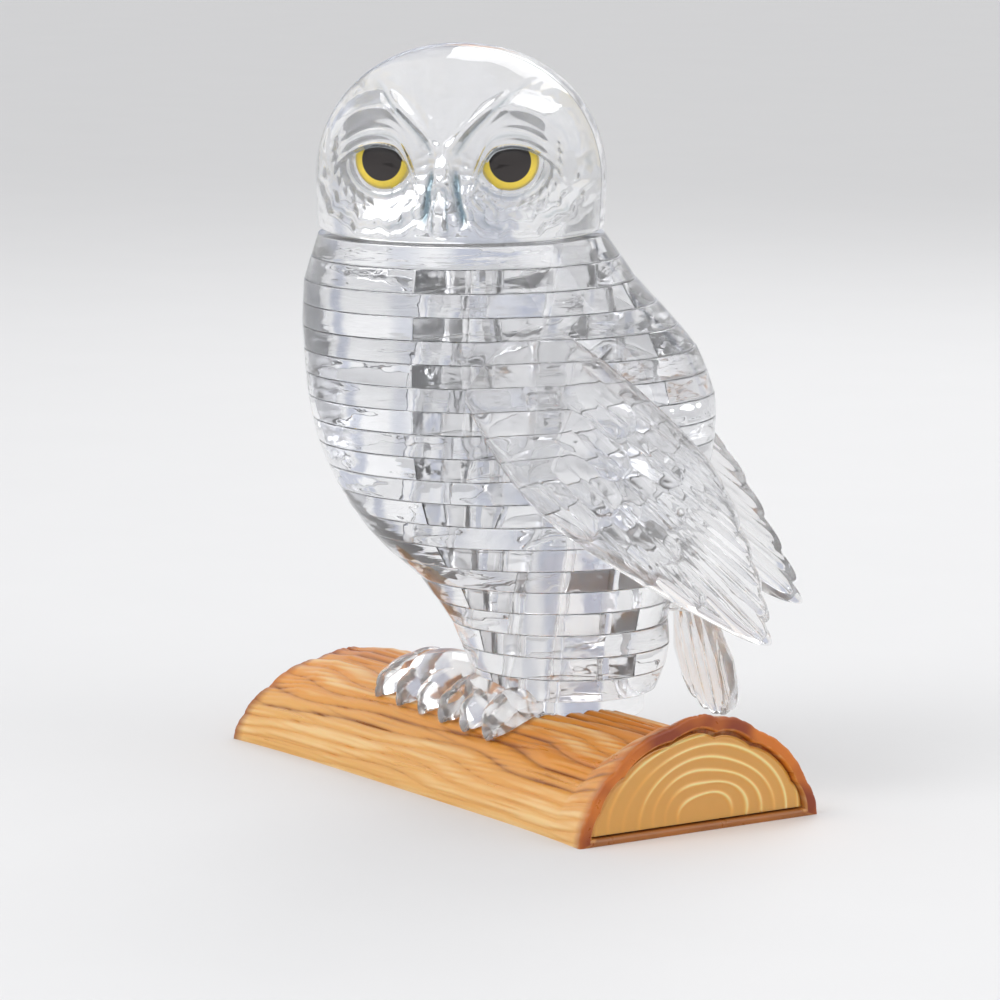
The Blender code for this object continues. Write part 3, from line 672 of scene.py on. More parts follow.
# Feather lobes on a wing: tip along and across the wing, length and half width, in mm.
PRIMARIES = np.array(
    (
        (59.2, 2.4, 33, 2.7),
        (56.4, 6.0, 30, 2.4),
        (52.6, 9.0, 30, 2.4),
        (47.6, 12.0, 27, 2.5),
        (41.6, 14.9, 24, 2.5),
        (34.6, 17.3, 20, 2.4),
        (46.5, -1.2, 20, 2.2),
    )
)
COVERTS = np.array(
    (
        (37.5, -3.6, 17, 2.6),
        (38.0, 1.6, 17, 2.8),
        (35.0, 6.6, 16, 2.8),
        (30.0, 11.4, 15, 2.8),
        (25.0, -4.6, 15, 2.9),
        (24.5, 0.9, 14, 3.0),
        (21.5, 6.4, 13, 3.0),
        (18.0, 12.2, 13, 3.2),
        (26.0, 15.6, 14, 2.6),
    )
)


def owl_frame():
    """The owl's place and turn on the log."""
    sizes = bpy.context.scene.owl_stack
    return Matrix.Translation((sizes.x, sizes.y, 0)) @ Matrix.Rotation(sizes.facing, 4, "Z")


def stack_foot():
    """Height of the lowest level's underside."""
    log, sizes = bpy.context.scene.owl_log, bpy.context.scene.owl_stack
    return log.ridge - log.seat + sizes.gap


def stack_top():
    """Height of the head's underside."""
    sizes = bpy.context.scene.owl_stack
    return stack_foot() + sizes.levels * sizes.pitch


def level_heights(level, room=None):
    """Heights of the bottom and top faces of a level, with this much room to its neighbours."""
    sizes = bpy.context.scene.owl_stack
    low = stack_foot() + level * sizes.pitch
    spare = 0 if room is None else (sizes.gap - room) / 2
    return low - spare, low + sizes.pitch - sizes.gap + spare


def seen_heights(level):
    """A level's heights with a thin seam; the lowest and highest keep clear of log and head."""
    sizes = bpy.context.scene.owl_stack
    low, high = level_heights(level, sizes.seam)
    if level == 0:
        low = level_heights(level)[0]
    if level == sizes.levels - 1:
        high = level_heights(level)[1]
    return low, high


def rim_radius(level, angle):
    """Distance from the post's axis to the rim: an oval, cut flat where the wings lie.

    level counts from 0 at a level's middle height, and may lie between two levels. The distance is
    the larger root of the oval's equation along the ray, or the wing's plane where that is nearer.
    """
    sizes, wings = bpy.context.scene.owl_stack, bpy.context.scene.owl_wings
    share = (level + 0.5) / sizes.levels
    middle, deep, wide = (np.interp(share, OWL_SECTIONS[:, 0], OWL_SECTIONS[:, i]) * MM for i in (1, 2, 3))
    across, back = np.cos(angle), np.sin(angle)
    offset = sizes.post_back - middle
    a = (across / wide) ** 2 + (back / deep) ** 2
    b = offset * back / deep**2
    c = (offset / deep) ** 2 - 1
    radius = (np.sqrt(b * b - a * c) - b) / a
    for side in (1, -1):
        facing = side * math.cos(wings.toe) * across + math.sin(wings.toe) * back
        reach = wings.side * math.cos(wings.toe) - sizes.post_back * math.sin(wings.toe)
        radius = np.minimum(radius, np.where(facing > 1e-6, reach / np.maximum(facing, 1e-6), np.inf))
    return radius


def round_post(radius, angle):
    """Points at these distances and directions from the post's axis."""
    sizes = bpy.context.scene.owl_stack
    return np.stack([radius * np.cos(angle), sizes.post_back + radius * np.sin(angle)], -1)


def cut_edge(level, angle, side, at, knob_steps=18):
    """One jigsaw cut from the post's hole to the rim, with its round knob.

    side is -1 on the half that carries the knob and 1 on the half with the socket, half a gap off
    the cut's middle line. The rim is that of the height at, counted in levels.
    """
    sizes = bpy.context.scene.owl_stack
    inner, outer = sizes.post + sizes.gap, float(rim_radius(level, angle))
    aside = side * sizes.gap / 2
    knob = min(sizes.knob, sizes.knob_share * (outer - inner))
    radius = knob + aside
    middle, beyond = (inner + outer) / 2, sizes.knob_reach * knob
    lean = math.asin((beyond - aside) / radius)
    sweep = np.linspace(math.pi + lean, -lean, knob_steps)
    rim = float(rim_radius(at, angle + math.asin(aside / outer)))
    start, stop = math.sqrt(inner**2 - aside**2), math.sqrt(rim**2 - aside**2)
    bend = middle + radius * np.cos(sweep)
    straight = np.linspace(0, 1, 5)[:-1]
    inwards, outwards = start + (bend[0] - start) * straight, stop - (stop - bend[-1]) * straight[::-1]
    along = np.concatenate([inwards, bend, outwards])
    bulge = beyond + radius * np.sin(sweep)
    across = np.concatenate([np.full(4, aside), bulge, np.full(4, aside)])
    return round_post(np.hypot(along, across), angle + np.arctan2(across, along))


def cut_angle(level):
    """The direction of a level's cut, a quarter turn on from the level below."""
    return bpy.context.scene.owl_stack.first_cut + level * QUARTER


def half_outline(level, start, at):
    """Half of a level as a closed loop, with how far each point's edge is rounded off."""
    sizes = bpy.context.scene.owl_stack
    stop = start + math.pi
    rim = np.linspace(start, stop, 74)[1:-1]
    hole = np.linspace(stop, start, 20)[1:-1]
    socket, knob = cut_edge(level, start, 1, at), cut_edge(level, stop, -1, at)[::-1]
    arc = round_post(rim_radius(at, rim), rim)
    inner = round_post(np.full(len(hole), sizes.post + sizes.gap), hole)
    loop = np.concatenate([socket, arc, knob, inner])
    soft = np.concatenate(
        [
            np.full(len(socket), sizes.cut_round),
            np.full(len(arc), sizes.rim_round),
            np.full(len(knob), sizes.cut_round),
            np.full(len(inner), sizes.cut_round),
        ]
    )
    return loop, soft


def inward(loop):
    """Unit directions that point into a closed loop that runs anticlockwise."""
    ahead = np.roll(loop, -1, 0) - np.roll(loop, 1, 0)
    ahead /= np.maximum(np.linalg.norm(ahead, axis=1, keepdims=True), 1e-12)
    area = np.sum(loop[:, 0] * np.roll(loop[:, 1], -1) - loop[:, 1] * np.roll(loop[:, 0], -1))
    return np.stack([-ahead[:, 1], ahead[:, 0]], -1) * np.sign(area)


RIM_PROFILE = np.array((-1, -0.995, -0.98, -0.94, -0.85, -0.5, 0, 0.5, 0.85, 0.94, 0.98, 0.995, 1))


def rim_reach(level):
    """How far in levels the rim's foot and top lie from the level's middle: the rims follow the
    owl's form, but the lowest level stands upright in its seat."""
    return 0.0 if level == 0 else 0.46


def slab_rings(foot, top, soft, low, high):
    """Rings up the side of a slab, from the loop at its foot to the one at its top.

    At a share s of the half height the loop is pulled in by soft * (1 - (1 - |s|^6)^(1/6)), which
    rounds the two edges.
    """
    pull = 1 - (1 - np.abs(RIM_PROFILE) ** 6) ** (1 / 6)
    share = (RIM_PROFILE[:, None, None] + 1) / 2
    loop = foot + share * (top - foot)
    flat = loop + pull[:, None, None] * (soft[:, None] * inward((foot + top) / 2))[None]
    height = (low + high) / 2 + RIM_PROFILE * (high - low) / 2
    heights = np.broadcast_to(height[:, None, None], flat.shape[:2] + (1,))
    return np.concatenate([flat, heights], -1)


def link_outline(level):
    """The quarter where a piece's two halves lie over each other, inside both rims."""
    sizes = bpy.context.scene.owl_stack
    start, inset = cut_angle(level), sizes.link_inset
    knob = sizes.knob * (1 + sizes.knob_reach) + inset
    rough = min(rim_radius(level, start + QUARTER / 2), rim_radius(level + 1, start + QUARTER / 2))
    first = start + math.asin(knob / (rough - inset))
    last = start + QUARTER - math.asin(inset / (rough - inset))
    arc = np.linspace(first, last, 18)
    rim = np.minimum(rim_radius(level, arc), rim_radius(level + 1, arc)) - inset
    corner = round_post(np.array([math.hypot(inset, knob)]), np.array([start + math.atan2(knob, inset)]))
    return np.concatenate([corner, round_post(rim, arc)])


def spiral_piece(name, level, lower=True, upper=True):
    """Half of a level joined to half of the next through a link in the gap between them."""
    sizes = bpy.context.scene.owl_stack
    verts, faces, flat = [], [], []
    slabs = []
    if lower:
        slabs.append((level, cut_angle(level)))
    if upper:
        slabs.append((level + 1, cut_angle(level + 1) + math.pi))
    total = 0
    rings = []
    for slab, start in slabs:
        foot, soft = half_outline(slab, start, slab - rim_reach(slab))
        top, _ = half_outline(slab, start, slab + rim_reach(slab))
        grid = slab_rings(foot, top, soft, *seen_heights(slab))
        rings.append((grid, total))
        faces += grid_faces(*grid.shape[:2], total)
        verts.append(grid.reshape(-1, 3))
        total += grid.shape[0] * grid.shape[1]
    bridge = None
    if len(slabs) == 2:
        link = link_outline(level)
        bridge = np.concatenate(
            [
                np.column_stack([link, np.full(len(link), rings[0][0][-1, 0, 2])]),
                np.column_stack([link, np.full(len(link), rings[1][0][0, 0, 2])]),
            ]
        )
        verts.append(bridge)
        link_start = total
        faces += grid_faces(2, len(link), total)
        total += len(bridge)
    for i, (grid, start) in enumerate(rings):
        wide = grid.shape[1]
        for row in (0, grid.shape[0] - 1):
            loops, starts = [grid[row]], [start + row * wide]
            if bridge is not None and (i, row) in ((0, grid.shape[0] - 1), (1, 0)):
                half = len(bridge) // 2
                loops.append(bridge[i * half : (i + 1) * half])
                starts.append(link_start + i * half)
            made = cap_faces(loops, starts)
            flat += range(len(faces), len(faces) + len(made))
            faces += made
    obj = put_mesh(name, np.concatenate(verts), faces, flat)
    obj.data.set_sharp_from_angle(angle=math.radians(50))
    return obj


def whole_level(name, level):
    """A level in one piece: its rim and the post's hole, both with rounded edges."""
    sizes = bpy.context.scene.owl_stack
    around = circle(144)
    hole = circle(40)
    foot, top = (round_post(rim_radius(level + side * rim_reach(level), around), around) for side in (-1, 1))
    inner = round_post(np.full(40, sizes.post + sizes.gap), hole)
    low, high = seen_heights(level)
    rim = slab_rings(foot, top, np.full(len(foot), sizes.rim_round), low, high)
    bore = slab_rings(inner, inner, np.full(40, -sizes.cut_round), low, high)
    start = rim.shape[0] * rim.shape[1]
    faces = grid_faces(*rim.shape[:2]) + grid_faces(*bore.shape[:2], start)
    flat = []
    for row in (0, len(RIM_PROFILE) - 1):
        made = cap_faces([rim[row], bore[row]], [row * 144, start + row * 40])
        flat += range(len(faces), len(faces) + len(made))
        faces += made
    obj = put_mesh(name, np.concatenate([rim.reshape(-1, 3), bore.reshape(-1, 3)]), faces, flat)
    obj.data.set_sharp_from_angle(angle=math.radians(50))
    return obj


def prism(name, loop, low, high, top=None):
    """An upright prism on a closed loop, which may grow into another at its top."""
    ends = ((loop, low), (loop if top is None else top, high))
    rings = np.stack([np.column_stack([flat, np.full(len(loop), z)]) for flat, z in ends])
    faces = grid_faces(2, len(loop))
    for row in (0, 1):
        faces += cap_faces([rings[row]], [row * len(loop)])
    return put_mesh(name, rings, faces)


def lathe(name, profile, steps=48):
    """Turns (radius, height) points about Z; the first and last lie on the axis."""
    profile = np.asarray(profile, float)
    around = circle(steps)
    rings = np.stack(
        [
            profile[:, None, 0] * np.cos(around),
            profile[:, None, 0] * np.sin(around),
            np.broadcast_to(profile[:, None, 1], (len(profile), steps)),
        ],
        -1,
    )
    return put_mesh(name, rings, grid_faces(len(profile), steps))


def egg(name, sizes, matrix, square=2.0, columns=56, rows=30):
    """A closed oval ball: x, y and z are sizes times powered cosines and sines, so that square
    above 2 fills its corners out."""
    power = 2 / square
    around = circle(columns)
    up = np.linspace(-QUARTER, QUARTER, rows)[:, None]
    flat = np.abs(np.cos(up)) ** power
    flat[[0, -1]] = 0
    points = np.stack(
        [
            sizes[0] * flat * signed_power(np.cos(around), power),
            sizes[1] * flat * signed_power(np.sin(around), power),
            np.broadcast_to(sizes[2] * signed_power(np.sin(up), power), (rows, columns)),
        ],
        -1,
    )
    return move(put_mesh(name, points, grid_faces(rows, columns)), matrix)


def tube(name, path, radii, steps=24):
    """A round tube along a path of points, with a radius at each and closed ends."""
    path, radii = np.asarray(path, float), np.asarray(radii, float)
    along = np.gradient(path, axis=0)
    along /= np.linalg.norm(along, axis=1, keepdims=True)
    side = np.cross(along, (0.0, 0.0, 1.0) if abs(along[0, 2]) < 0.9 else (1.0, 0.0, 0.0))
    side /= np.linalg.norm(side, axis=1, keepdims=True)
    up = np.cross(side, along)
    around = circle(steps)
    rings = path[:, None] + radii[:, None, None] * (
        np.cos(around)[:, None] * side[:, None] + np.sin(around)[:, None] * up[:, None]
    )
    start, stop = path[:1, None].repeat(steps, 1), path[-1:, None].repeat(steps, 1)
    rings = np.concatenate([start, rings, stop])
    return put_mesh(name, rings, grid_faces(len(rings), steps))


# ---------------------------------------------------------------- log


def log_half_width(x):
    """Half the log's width at x: narrowest at its middle, growing with the fourth power of x."""
    sizes = bpy.context.scene.owl_log
    share = np.abs(x) / (sizes.long / 2)
    return sizes.wide / 2 - sizes.waist / 2 * (1 - share**4)


def log_height(x):
    """Height of the ridge: flat, then a sine rise in each end's flare."""
    sizes = bpy.context.scene.owl_log
    rise = np.where(np.asarray(x) > 0, sizes.rise_right, sizes.rise_left)
    into = np.maximum(0.0, 1 - (sizes.long / 2 - np.abs(x)) / sizes.flare)
    return sizes.ridge + rise * np.sin(into * math.radians(75))


def arch(angles):
    """The arch's (across, up) for angles from its right foot over the ridge to its left."""
    power = 2 / bpy.context.scene.owl_log.power
    across, up = np.cos(angles), np.maximum(np.sin(angles), 0)
    return signed_power(across, power), up**power


def bark_relief(x, angles):
    """Depth of the bark below its crests, from 0 to 1.

    Long furrows run along the log, parting and meeting: sines of the angle bent by slow sines of
    x. Finer lines lie on them, and broad swells lift whole strips.
    """
    sizes = bpy.context.scene.owl_log
    t = x / sizes.long
    bend = 1.2 * np.sin(t * 8 + 3 * angles) + 0.5 * np.sin(t * 19 + 7 * angles + 1.0)
    broad = (1 - np.cos(9 * angles + 0.6 * bend)) / 2
    long_lines = np.abs(np.sin(21 * angles + bend)) ** 0.65
    fine = np.abs(np.sin(45 * angles - 1.6 * bend + 2.0)) ** 0.7
    fork = 0.5 + 0.5 * np.sin(t * 26 + 11 * angles) * np.sin(t * 13 - 5 * angles)
    return np.clip(0.30 * broad + 0.50 * (1 - long_lines) + 0.32 * (1 - fine) * fork, 0, 1)


class OWL_OT_log(bpy.types.Operator):
    """Build the log: a bark-covered arch with a scalloped rim and a pocket at each end"""

    bl_idname = "owl.log"
    bl_label = "Log"

    def execute(self, context):
        sizes, stack = context.scene.owl_log, context.scene.owl_stack
        half, soft = sizes.long / 2, sizes.rim_round
        arc_steps, base_steps = 330, 24
        angles = np.linspace(0, math.pi, arc_steps)
        arch_y, arch_z = arch(angles)
        base = np.linspace(-1, 1, base_steps + 2)[1:-1]
        near_end = 1 - (1 - np.abs(np.linspace(-1, 1, 200))) ** 1.25
        stations = (half - soft) * np.sign(np.linspace(-1, 1, 200)) * near_end
        depth = sizes.bark + sizes.grain

        def shell(x, inset, floor, relief_share):
            """A loop of the log at x, its arch pulled in by inset and its foot raised to floor."""
            relief = bark_relief(x, angles) * np.sin(angles) ** 0.3
            end = np.clip(1 - (half - abs(x)) / (2.6 * MM), 0, 1)
            scallop = np.abs(np.sin(6.5 * angles + 0.4 * np.sin(5 * angles) + 0.3)) ** 0.7
            cut = depth * relief * (1 - 0.75 * end) * relief_share
            cut = cut + sizes.scallop * (1 - scallop) * end * np.sin(angles) ** 0.5
            wide, high = log_half_width(x) - inset, log_height(x) - inset
            y = (wide - cut * np.abs(arch_y)) * arch_y
            z = floor + (high - floor - cut) * arch_z
            loop = np.empty((arc_steps + base_steps, 3))
            loop[:, 0] = x
            loop[:arc_steps, 1], loop[:arc_steps, 2] = y, z
            loop[arc_steps:, 1] = base * y[0]
            loop[arc_steps:, 2] = floor
            tall = np.zeros(arc_steps + base_steps)
            tall[:arc_steps] = 1 - relief
            # Share of the darker rim colour, rising to full at the ends and cut to a quarter along the base.
            darker_share = np.full(arc_steps + base_steps, float(end))
            darker_share[arc_steps:] *= 0.25
            return loop, tall, darker_share

        loops = [shell(x, 0, 0, 1) for x in stations]
        fillet = np.linspace(0, QUARTER, 5)[1:]
        for side in (1, -1):
            cap = []
            for a in fillet:
                cap.append(shell(side * (half - soft + soft * math.sin(a)), soft * (1 - math.cos(a)), 0, 1))
            inner = sizes.rim - soft
            for share in (0.33, 0.66, 1.0):
                inset, floor = soft + (inner - soft) * share, sizes.floor * 0.5 * share
                cap.append(shell(side * half, inset, floor, 1 - share))
            for a in fillet:
                loop, tall, end = shell(
                    side * half, inner + soft * math.sin(a), sizes.floor * (0.5 + 0.5 * math.sin(a)), 0
                )
                loop[:, 0] = side * (half - soft * (1 - math.cos(a)))
                cap.append((loop, tall, end * 0.55))
            for deep, keep in ((0.55, 1.0), (1.0, 1.0), (1.0, 0.5), (1.0, 0.0)):
                loop, tall, end = shell(side * half, sizes.rim, sizes.floor, 0)
                middle = np.array([0, 0, log_height(side * half) * 0.4])
                loop[:, 1:] = middle[1:] + keep * (loop[:, 1:] - middle[1:])
                loop[:, 0] = side * (half - sizes.pocket * deep)
                cap.append((loop, tall, end * 0.3))
            loops = loops + cap if side > 0 else cap[::-1] + loops
        rings = np.stack([loop for loop, _, _ in loops])
        obj = put_mesh("log_bark", rings, grid_faces(*rings.shape[:2]))
        carry(obj, rings, "relief", np.stack([tall for _, tall, _ in loops]))
        carry(obj, rings, "rim", np.stack([end for _, _, end in loops]))
        around = circle(120)
        seat = round_post(rim_radius(0, around) + stack.gap, around)
        foot = sizes.ridge - sizes.seat
        hole = round_post(np.full(48, stack.post + stack.gap), circle(48))
        for loop, low in ((seat, foot), (hole, foot - stack.post_in_log - stack.gap)):
            join(obj, move(prism("cutter", loop, low, 2 * sizes.ridge), owl_frame()), "DIFFERENCE")
        sharpen(obj, 50)
        dress(obj, bark_look(context.scene.owl_finishes), "log", "bark", "log_body")
        return {"FINISHED"}


def carry(obj, points, name, values):
    """Stores a value at each of the piece's points, taken from the grid point that it came from."""
    points, values = points.reshape(-1, 3), values.reshape(-1)
    first, _ = merge(points)
    made = obj.data.attributes.new(name, "FLOAT", "POINT")
    made.data.foreach_set("value", values[first].astype(np.float32))


class OWL_OT_log_ends(bpy.types.Operator):
    """Build the two end plates, with raised growth rings round a point near the log's foot"""

    bl_idname = "owl.log_ends"
    bl_label = "Log ends"

    def execute(self, context):
        sizes, gap = context.scene.owl_log, context.scene.owl_stack.gap
        half = sizes.long / 2
        inset = sizes.rim + gap
        angles = np.linspace(0, math.pi, 240)
        arch_y, arch_z = arch(angles)
        for side, name in ((1, "right"), (-1, "left")):
            wide = log_half_width(side * half) - inset
            high = log_height(side * half) - inset - sizes.bark
            floor = sizes.floor + gap
            scallop = np.abs(np.sin(6.5 * angles + 0.4 * np.sin(5 * angles) + 0.3)) ** 0.7
            cut = sizes.scallop * (1 - scallop) * np.sin(angles) ** 0.5
            rim_y = (wide - cut * np.abs(arch_y)) * arch_y
            rim_z = floor + (high - floor - cut) * arch_z
            base = np.linspace(-1, 1, 122)[1:-1]
            loop = np.concatenate(
                [np.stack([rim_y, rim_z], -1), np.stack([base * wide, np.full(120, floor)], -1)]
            )
            middle = np.array([1.5 * MM * side, floor + 0.8 * MM])
            share = np.linspace(1, 0, 130)[:, None, None]
            flat = middle + share * (loop - middle)
            dy, dz = flat[..., 0] - middle[0], flat[..., 1] - middle[1]
            far, lean = np.hypot(dy * 0.82, dz * 1.16), np.arctan2(dz, dy)
            wave = far + 0.28 * MM * np.sin(3 * lean + 0.5 * far / MM) * np.minimum(far / (6 * MM), 1)
            phase = wave / (2.2 * MM)
            ring = bump_line(phase - np.round(phase), 0.13) * (phase > 1.5)
            # Painted highlight: the rings stand higher and are paler towards their upper side, where light
            # catches them, and fade round the rest.
            brightest = math.radians(75 if side > 0 else 105)
            fade = 0.5 + 0.5 * np.cos(lean - brightest + 0.25 * np.sin(phase * 2.3))
            ring = ring * (0.12 + 0.88 * smooth_step(0.35, 0.9, fade))
            outer = half - sizes.pocket + gap + sizes.plate
            edge = 1 - smooth_step(0.965, 1.0, np.broadcast_to(share[..., 0], ring.shape))
            face = outer - sizes.ring_relief * 1.3 * (1 - edge) - sizes.ring_relief * (1 - ring * edge)
            front = np.concatenate([face[..., None], flat], -1)
            rear = np.concatenate([np.full(flat[:1].shape[:2] + (1,), outer - sizes.plate), flat[:1]], -1)
            centre = np.concatenate([rear[..., :1], np.broadcast_to(middle, flat[:1].shape)], -1)
            rings = np.concatenate([centre, rear, front])
            tall = np.concatenate([np.zeros((2, ring.shape[1])), ring])
            rings[..., 0] *= side
            obj = put_mesh(f"end_rings_{name}", rings, grid_faces(*rings.shape[:2]))
            carry(obj, rings, "ring", tall)
            sharpen(obj, 45)
            dress(obj, plate_look(context.scene.owl_finishes), "log", "log_end", f"log_end_{name}")
        return {"FINISHED"}


# ---------------------------------------------------------------- stack


def tongue_box(level, inner, outer, grow, matrix=None):
    """A flat tongue with rounded edges along +Y, at half the height of a level."""
    wings = bpy.context.scene.owl_wings
    middle = sum(level_heights(level)) / 2
    wide, high = wings.tongue_wide / 2 + grow, wings.tongue_high / 2 + grow
    around = circle(48)
    across, up = np.cos(around), np.sin(around)
    loop = np.stack([wide * signed_power(across, 0.22), high * signed_power(up, 0.4)], -1)
    tip = inner - grow
    rings = np.stack(
        [
            np.column_stack([share * loop[:, 0], np.full(48, y), middle + share * loop[:, 1]])
            for share, y in ((0, tip), (0.97, tip), (1, tip + 0.2 * MM), (1, outer), (0, outer))
        ]
    )
    obj = put_mesh("tongue", rings, grid_faces(5, 48))
    return move(obj, matrix) if matrix else obj


def wing_matrix(side):
    """A wing's plane: X out of its face, Y back along it and Z up, in the owl's frame."""
    wings = bpy.context.scene.owl_wings
    return Matrix.Translation((side * wings.side, 0, 0)) @ Matrix.Rotation(side * wings.toe, 4, "Z")


def wing_tongue(side, grow):
    wings, gap = bpy.context.scene.owl_wings, bpy.context.scene.owl_stack.gap
    spot = Matrix.Translation((0, wings.tongue_back, 0))
    at = wing_matrix(side) @ spot @ Matrix.Rotation(-side * QUARTER, 4, "Z")
    return tongue_box(wings.wing_level, -wings.tongue_deep, 2 * gap, grow, at)


def tail_tongue(grow):
    wings, stack = bpy.context.scene.owl_wings, bpy.context.scene.owl_stack
    rim = stack.post_back + float(rim_radius(wings.tail_level, QUARTER))
    return tongue_box(wings.tail_level, rim - wings.tongue_deep, rim + wings.tail_off + stack.gap, grow)


class OWL_OT_stack(bpy.types.Operator):
    """Build the jigsaw stack: each piece is half of a level joined to half of the next"""

    bl_idname = "owl.stack"
    bl_label = "Body pieces"

    def execute(self, context):
        sizes, wings = context.scene.owl_stack, context.scene.owl_wings
        look = clear_look(context.scene.owl_finishes, "body")
        last = sizes.levels - 2
        made = {}
        for number in range(1, last + 2):
            name = f"clear_piece_{number:02d}"
            if number == 1:
                obj = spiral_piece(name, 0, lower=False)
            elif number == last + 1:
                obj = spiral_piece(name, last, upper=False)
            else:
                obj = spiral_piece(name, number - 1)
            made[number] = obj
        slots = ((wings.wing_level, -1), (wings.wing_level + 1, 1))
        for number, side in slots:
            join(made[number], wing_tongue(side, sizes.gap), "DIFFERENCE")
        join(made[wings.tail_level + 1], tail_tongue(sizes.gap), "DIFFERENCE")
        for number, obj in made.items():
            cad = f"body_piece_{number:02d}"
            move(obj, owl_frame())
            dress(obj, look, body_of(cad), "clear_body", cad)
        for cad, level in (("base_plate", 0), ("collar_plate", sizes.levels - 1)):
            obj = move(whole_level(f"clear_{cad}", level), owl_frame())
            dress(obj, look, body_of(cad), "clear_body", cad)
        return {"FINISHED"}


class OWL_OT_post(bpy.types.Operator):
    """Build the centre post, with rounded ends"""

    bl_idname = "owl.post"
    bl_label = "Centre post"

    def execute(self, context):
        sizes = context.scene.owl_stack
        foot = stack_foot() - sizes.gap - sizes.post_in_log
        top = stack_top() + sizes.post_in_head
        soft = 0.6 * MM
        a = np.linspace(0, QUARTER, 6)
        low = np.stack([sizes.post - soft + soft * np.sin(a), foot + soft - soft * np.cos(a)], -1)
        high = np.stack([sizes.post - soft + soft * np.cos(a), top - soft + soft * np.sin(a)], -1)
        profile = np.concatenate([[(0, foot)], low, high, [(0, top)]])
        obj = lathe("clear_post", profile)
        move(obj, owl_frame() @ Matrix.Translation((0, sizes.post_back, 0)))
        sharpen(obj, 50)
        look = clear_look(context.scene.owl_finishes, "body")
        dress(obj, look, body_of("centre_post"), "clear_body", "centre_post")
        return {"FINISHED"}


# ---------------------------------------------------------------- wings and tail


def smooth_loop(points, steps):
    """A closed curve through points: on each span a cubic whose slope at a point is half the
    step between its neighbours."""
    before, after, beyond = np.roll(points, 1, 0), np.roll(points, -1, 0), np.roll(points, -2, 0)
    t = np.linspace(0, 1, steps, endpoint=False)[None, :, None]
    p0, p1, p2, p3 = (p[:, None] for p in (before, points, after, beyond))
    curve = 0.5 * (
        2 * p1 + (p2 - p0) * t + (2 * p0 - 5 * p1 + 4 * p2 - p3) * t**2 + (3 * p1 - p0 - 3 * p2 + p3) * t**3
    )
    return curve.reshape(-1, 2)


WING_START = np.array((-12.0, 66.0))
WING_ALONG = np.array((0.73, -0.683)) / math.hypot(0.73, 0.683)
WING_ACROSS = np.array((-WING_ALONG[1], WING_ALONG[0]))


def feather_relief(u, v):
    """Height of the feather lobes at (along, across), from 0 to 1.

    Each lobe is a long half-round bar with a round tip that thickens towards the tip and has a
    groove down its middle; the highest lobe shows.
    """
    relief = np.zeros_like(u)
    for rows, strength in ((PRIMARIES, 1.0), (COVERTS, 0.85)):
        for tip_u, tip_v, long, wide in rows:
            t = np.clip((u - (tip_u - long)) / long, 0, 1)
            lean = tip_v + (tip_u - u) * 0.05 * np.sign(6 - tip_v)
            past = np.maximum(u - (tip_u - wide), 0)
            off = np.hypot(v - lean, past) / wide
            bar = np.sqrt(np.clip(1 - off**2, 0, 1))
            shaft = 0.16 * np.exp(-(((v - lean) / 0.28) ** 2))
            grown = strength * (0.28 + 0.72 * t) * smooth_step(0, 0.25, t)
            relief = np.maximum(relief, grown * (bar - shaft * (off < 0.8)))
    return relief


def wing_form(side):
    """A wing's crowned blade in its own plane: a grid from its outline in to a line down its
    middle, thick there and round at the edge, with the feather lobes raised on its outer face."""
    wings, gap = bpy.context.scene.owl_wings, bpy.context.scene.owl_stack.gap
    loop = smooth_loop(WING_OUTLINE, 32)
    rel = loop - WING_START
    u, v = rel @ WING_ALONG, rel @ WING_ACROSS
    tips = PRIMARIES[np.argsort(PRIMARIES[:, 1])][1:]
    off = np.abs(v[:, None] - tips[None, :, 1]) / 1.75
    notch = np.clip(np.min(off, 1), 0, 1) ** 2.0
    trailing = smooth_step(24, 33, u) * smooth_step(1.0, 3.0, v)
    u = u - 1.9 * notch * trailing
    loop = WING_START + u[:, None] * WING_ALONG + v[:, None] * WING_ACROSS
    spine_u = np.clip(u, 4, 50)
    spine_v = np.interp(spine_u, (4, 25, 50), (6.0, 5.5, 4.5))
    spine = WING_START + spine_u[:, None] * WING_ALONG + spine_v[:, None] * WING_ACROSS
    share = np.sin(np.linspace(QUARTER, 0, 84))[:, None, None]
    flat = spine + share * (loop - spine)
    rel = flat - WING_START
    u, v = rel @ WING_ALONG, rel @ WING_ACROSS
    middle = (WING_OUTLINE[8] + WING_OUTLINE[1]) / 2 - WING_START
    mu, mv = middle @ WING_ALONG, middle @ WING_ACROSS
    oval = ((u - mu) * MM / wings.crown_long) ** 2 + ((v - mv) * MM / wings.crown_wide) ** 2
    thick = wings.crown * np.sqrt(np.maximum(1 - oval, 0)) - wings.crown + wings.thick
    s = np.broadcast_to(share[..., 0], thick.shape)
    edge = (1 - s**7) ** 0.42
    relief = feather_relief(u, v) * smooth_step(0.0, 0.04, 1 - s)
    outer = gap + (np.maximum(thick, 1.2 * MM) - wings.feather * 0.75) * edge + wings.feather * relief * edge
    inner = np.full(thick.shape, gap) + 0.25 * MM * (1 - edge)
    outer = np.maximum(outer, inner + 0.02 * MM * (s < 1))
    outer[0] = inner[0]
    back, height = flat[..., 0] * MM, flat[..., 1] * MM
    front = np.stack([side * outer, back, height], -1)
    rear = np.stack([side * inner, back, height], -1)
    rings = np.concatenate([rear[::-1], front[1:]])
    if side < 0:
        top, fall = WING_OUTLINE[0][1] * MM, (WING_OUTLINE[0][1] - WING_OUTLINE[7][1]) * MM
        rings[..., 1] += wings.sweep_right * (top - rings[..., 2]) / fall
    return rings


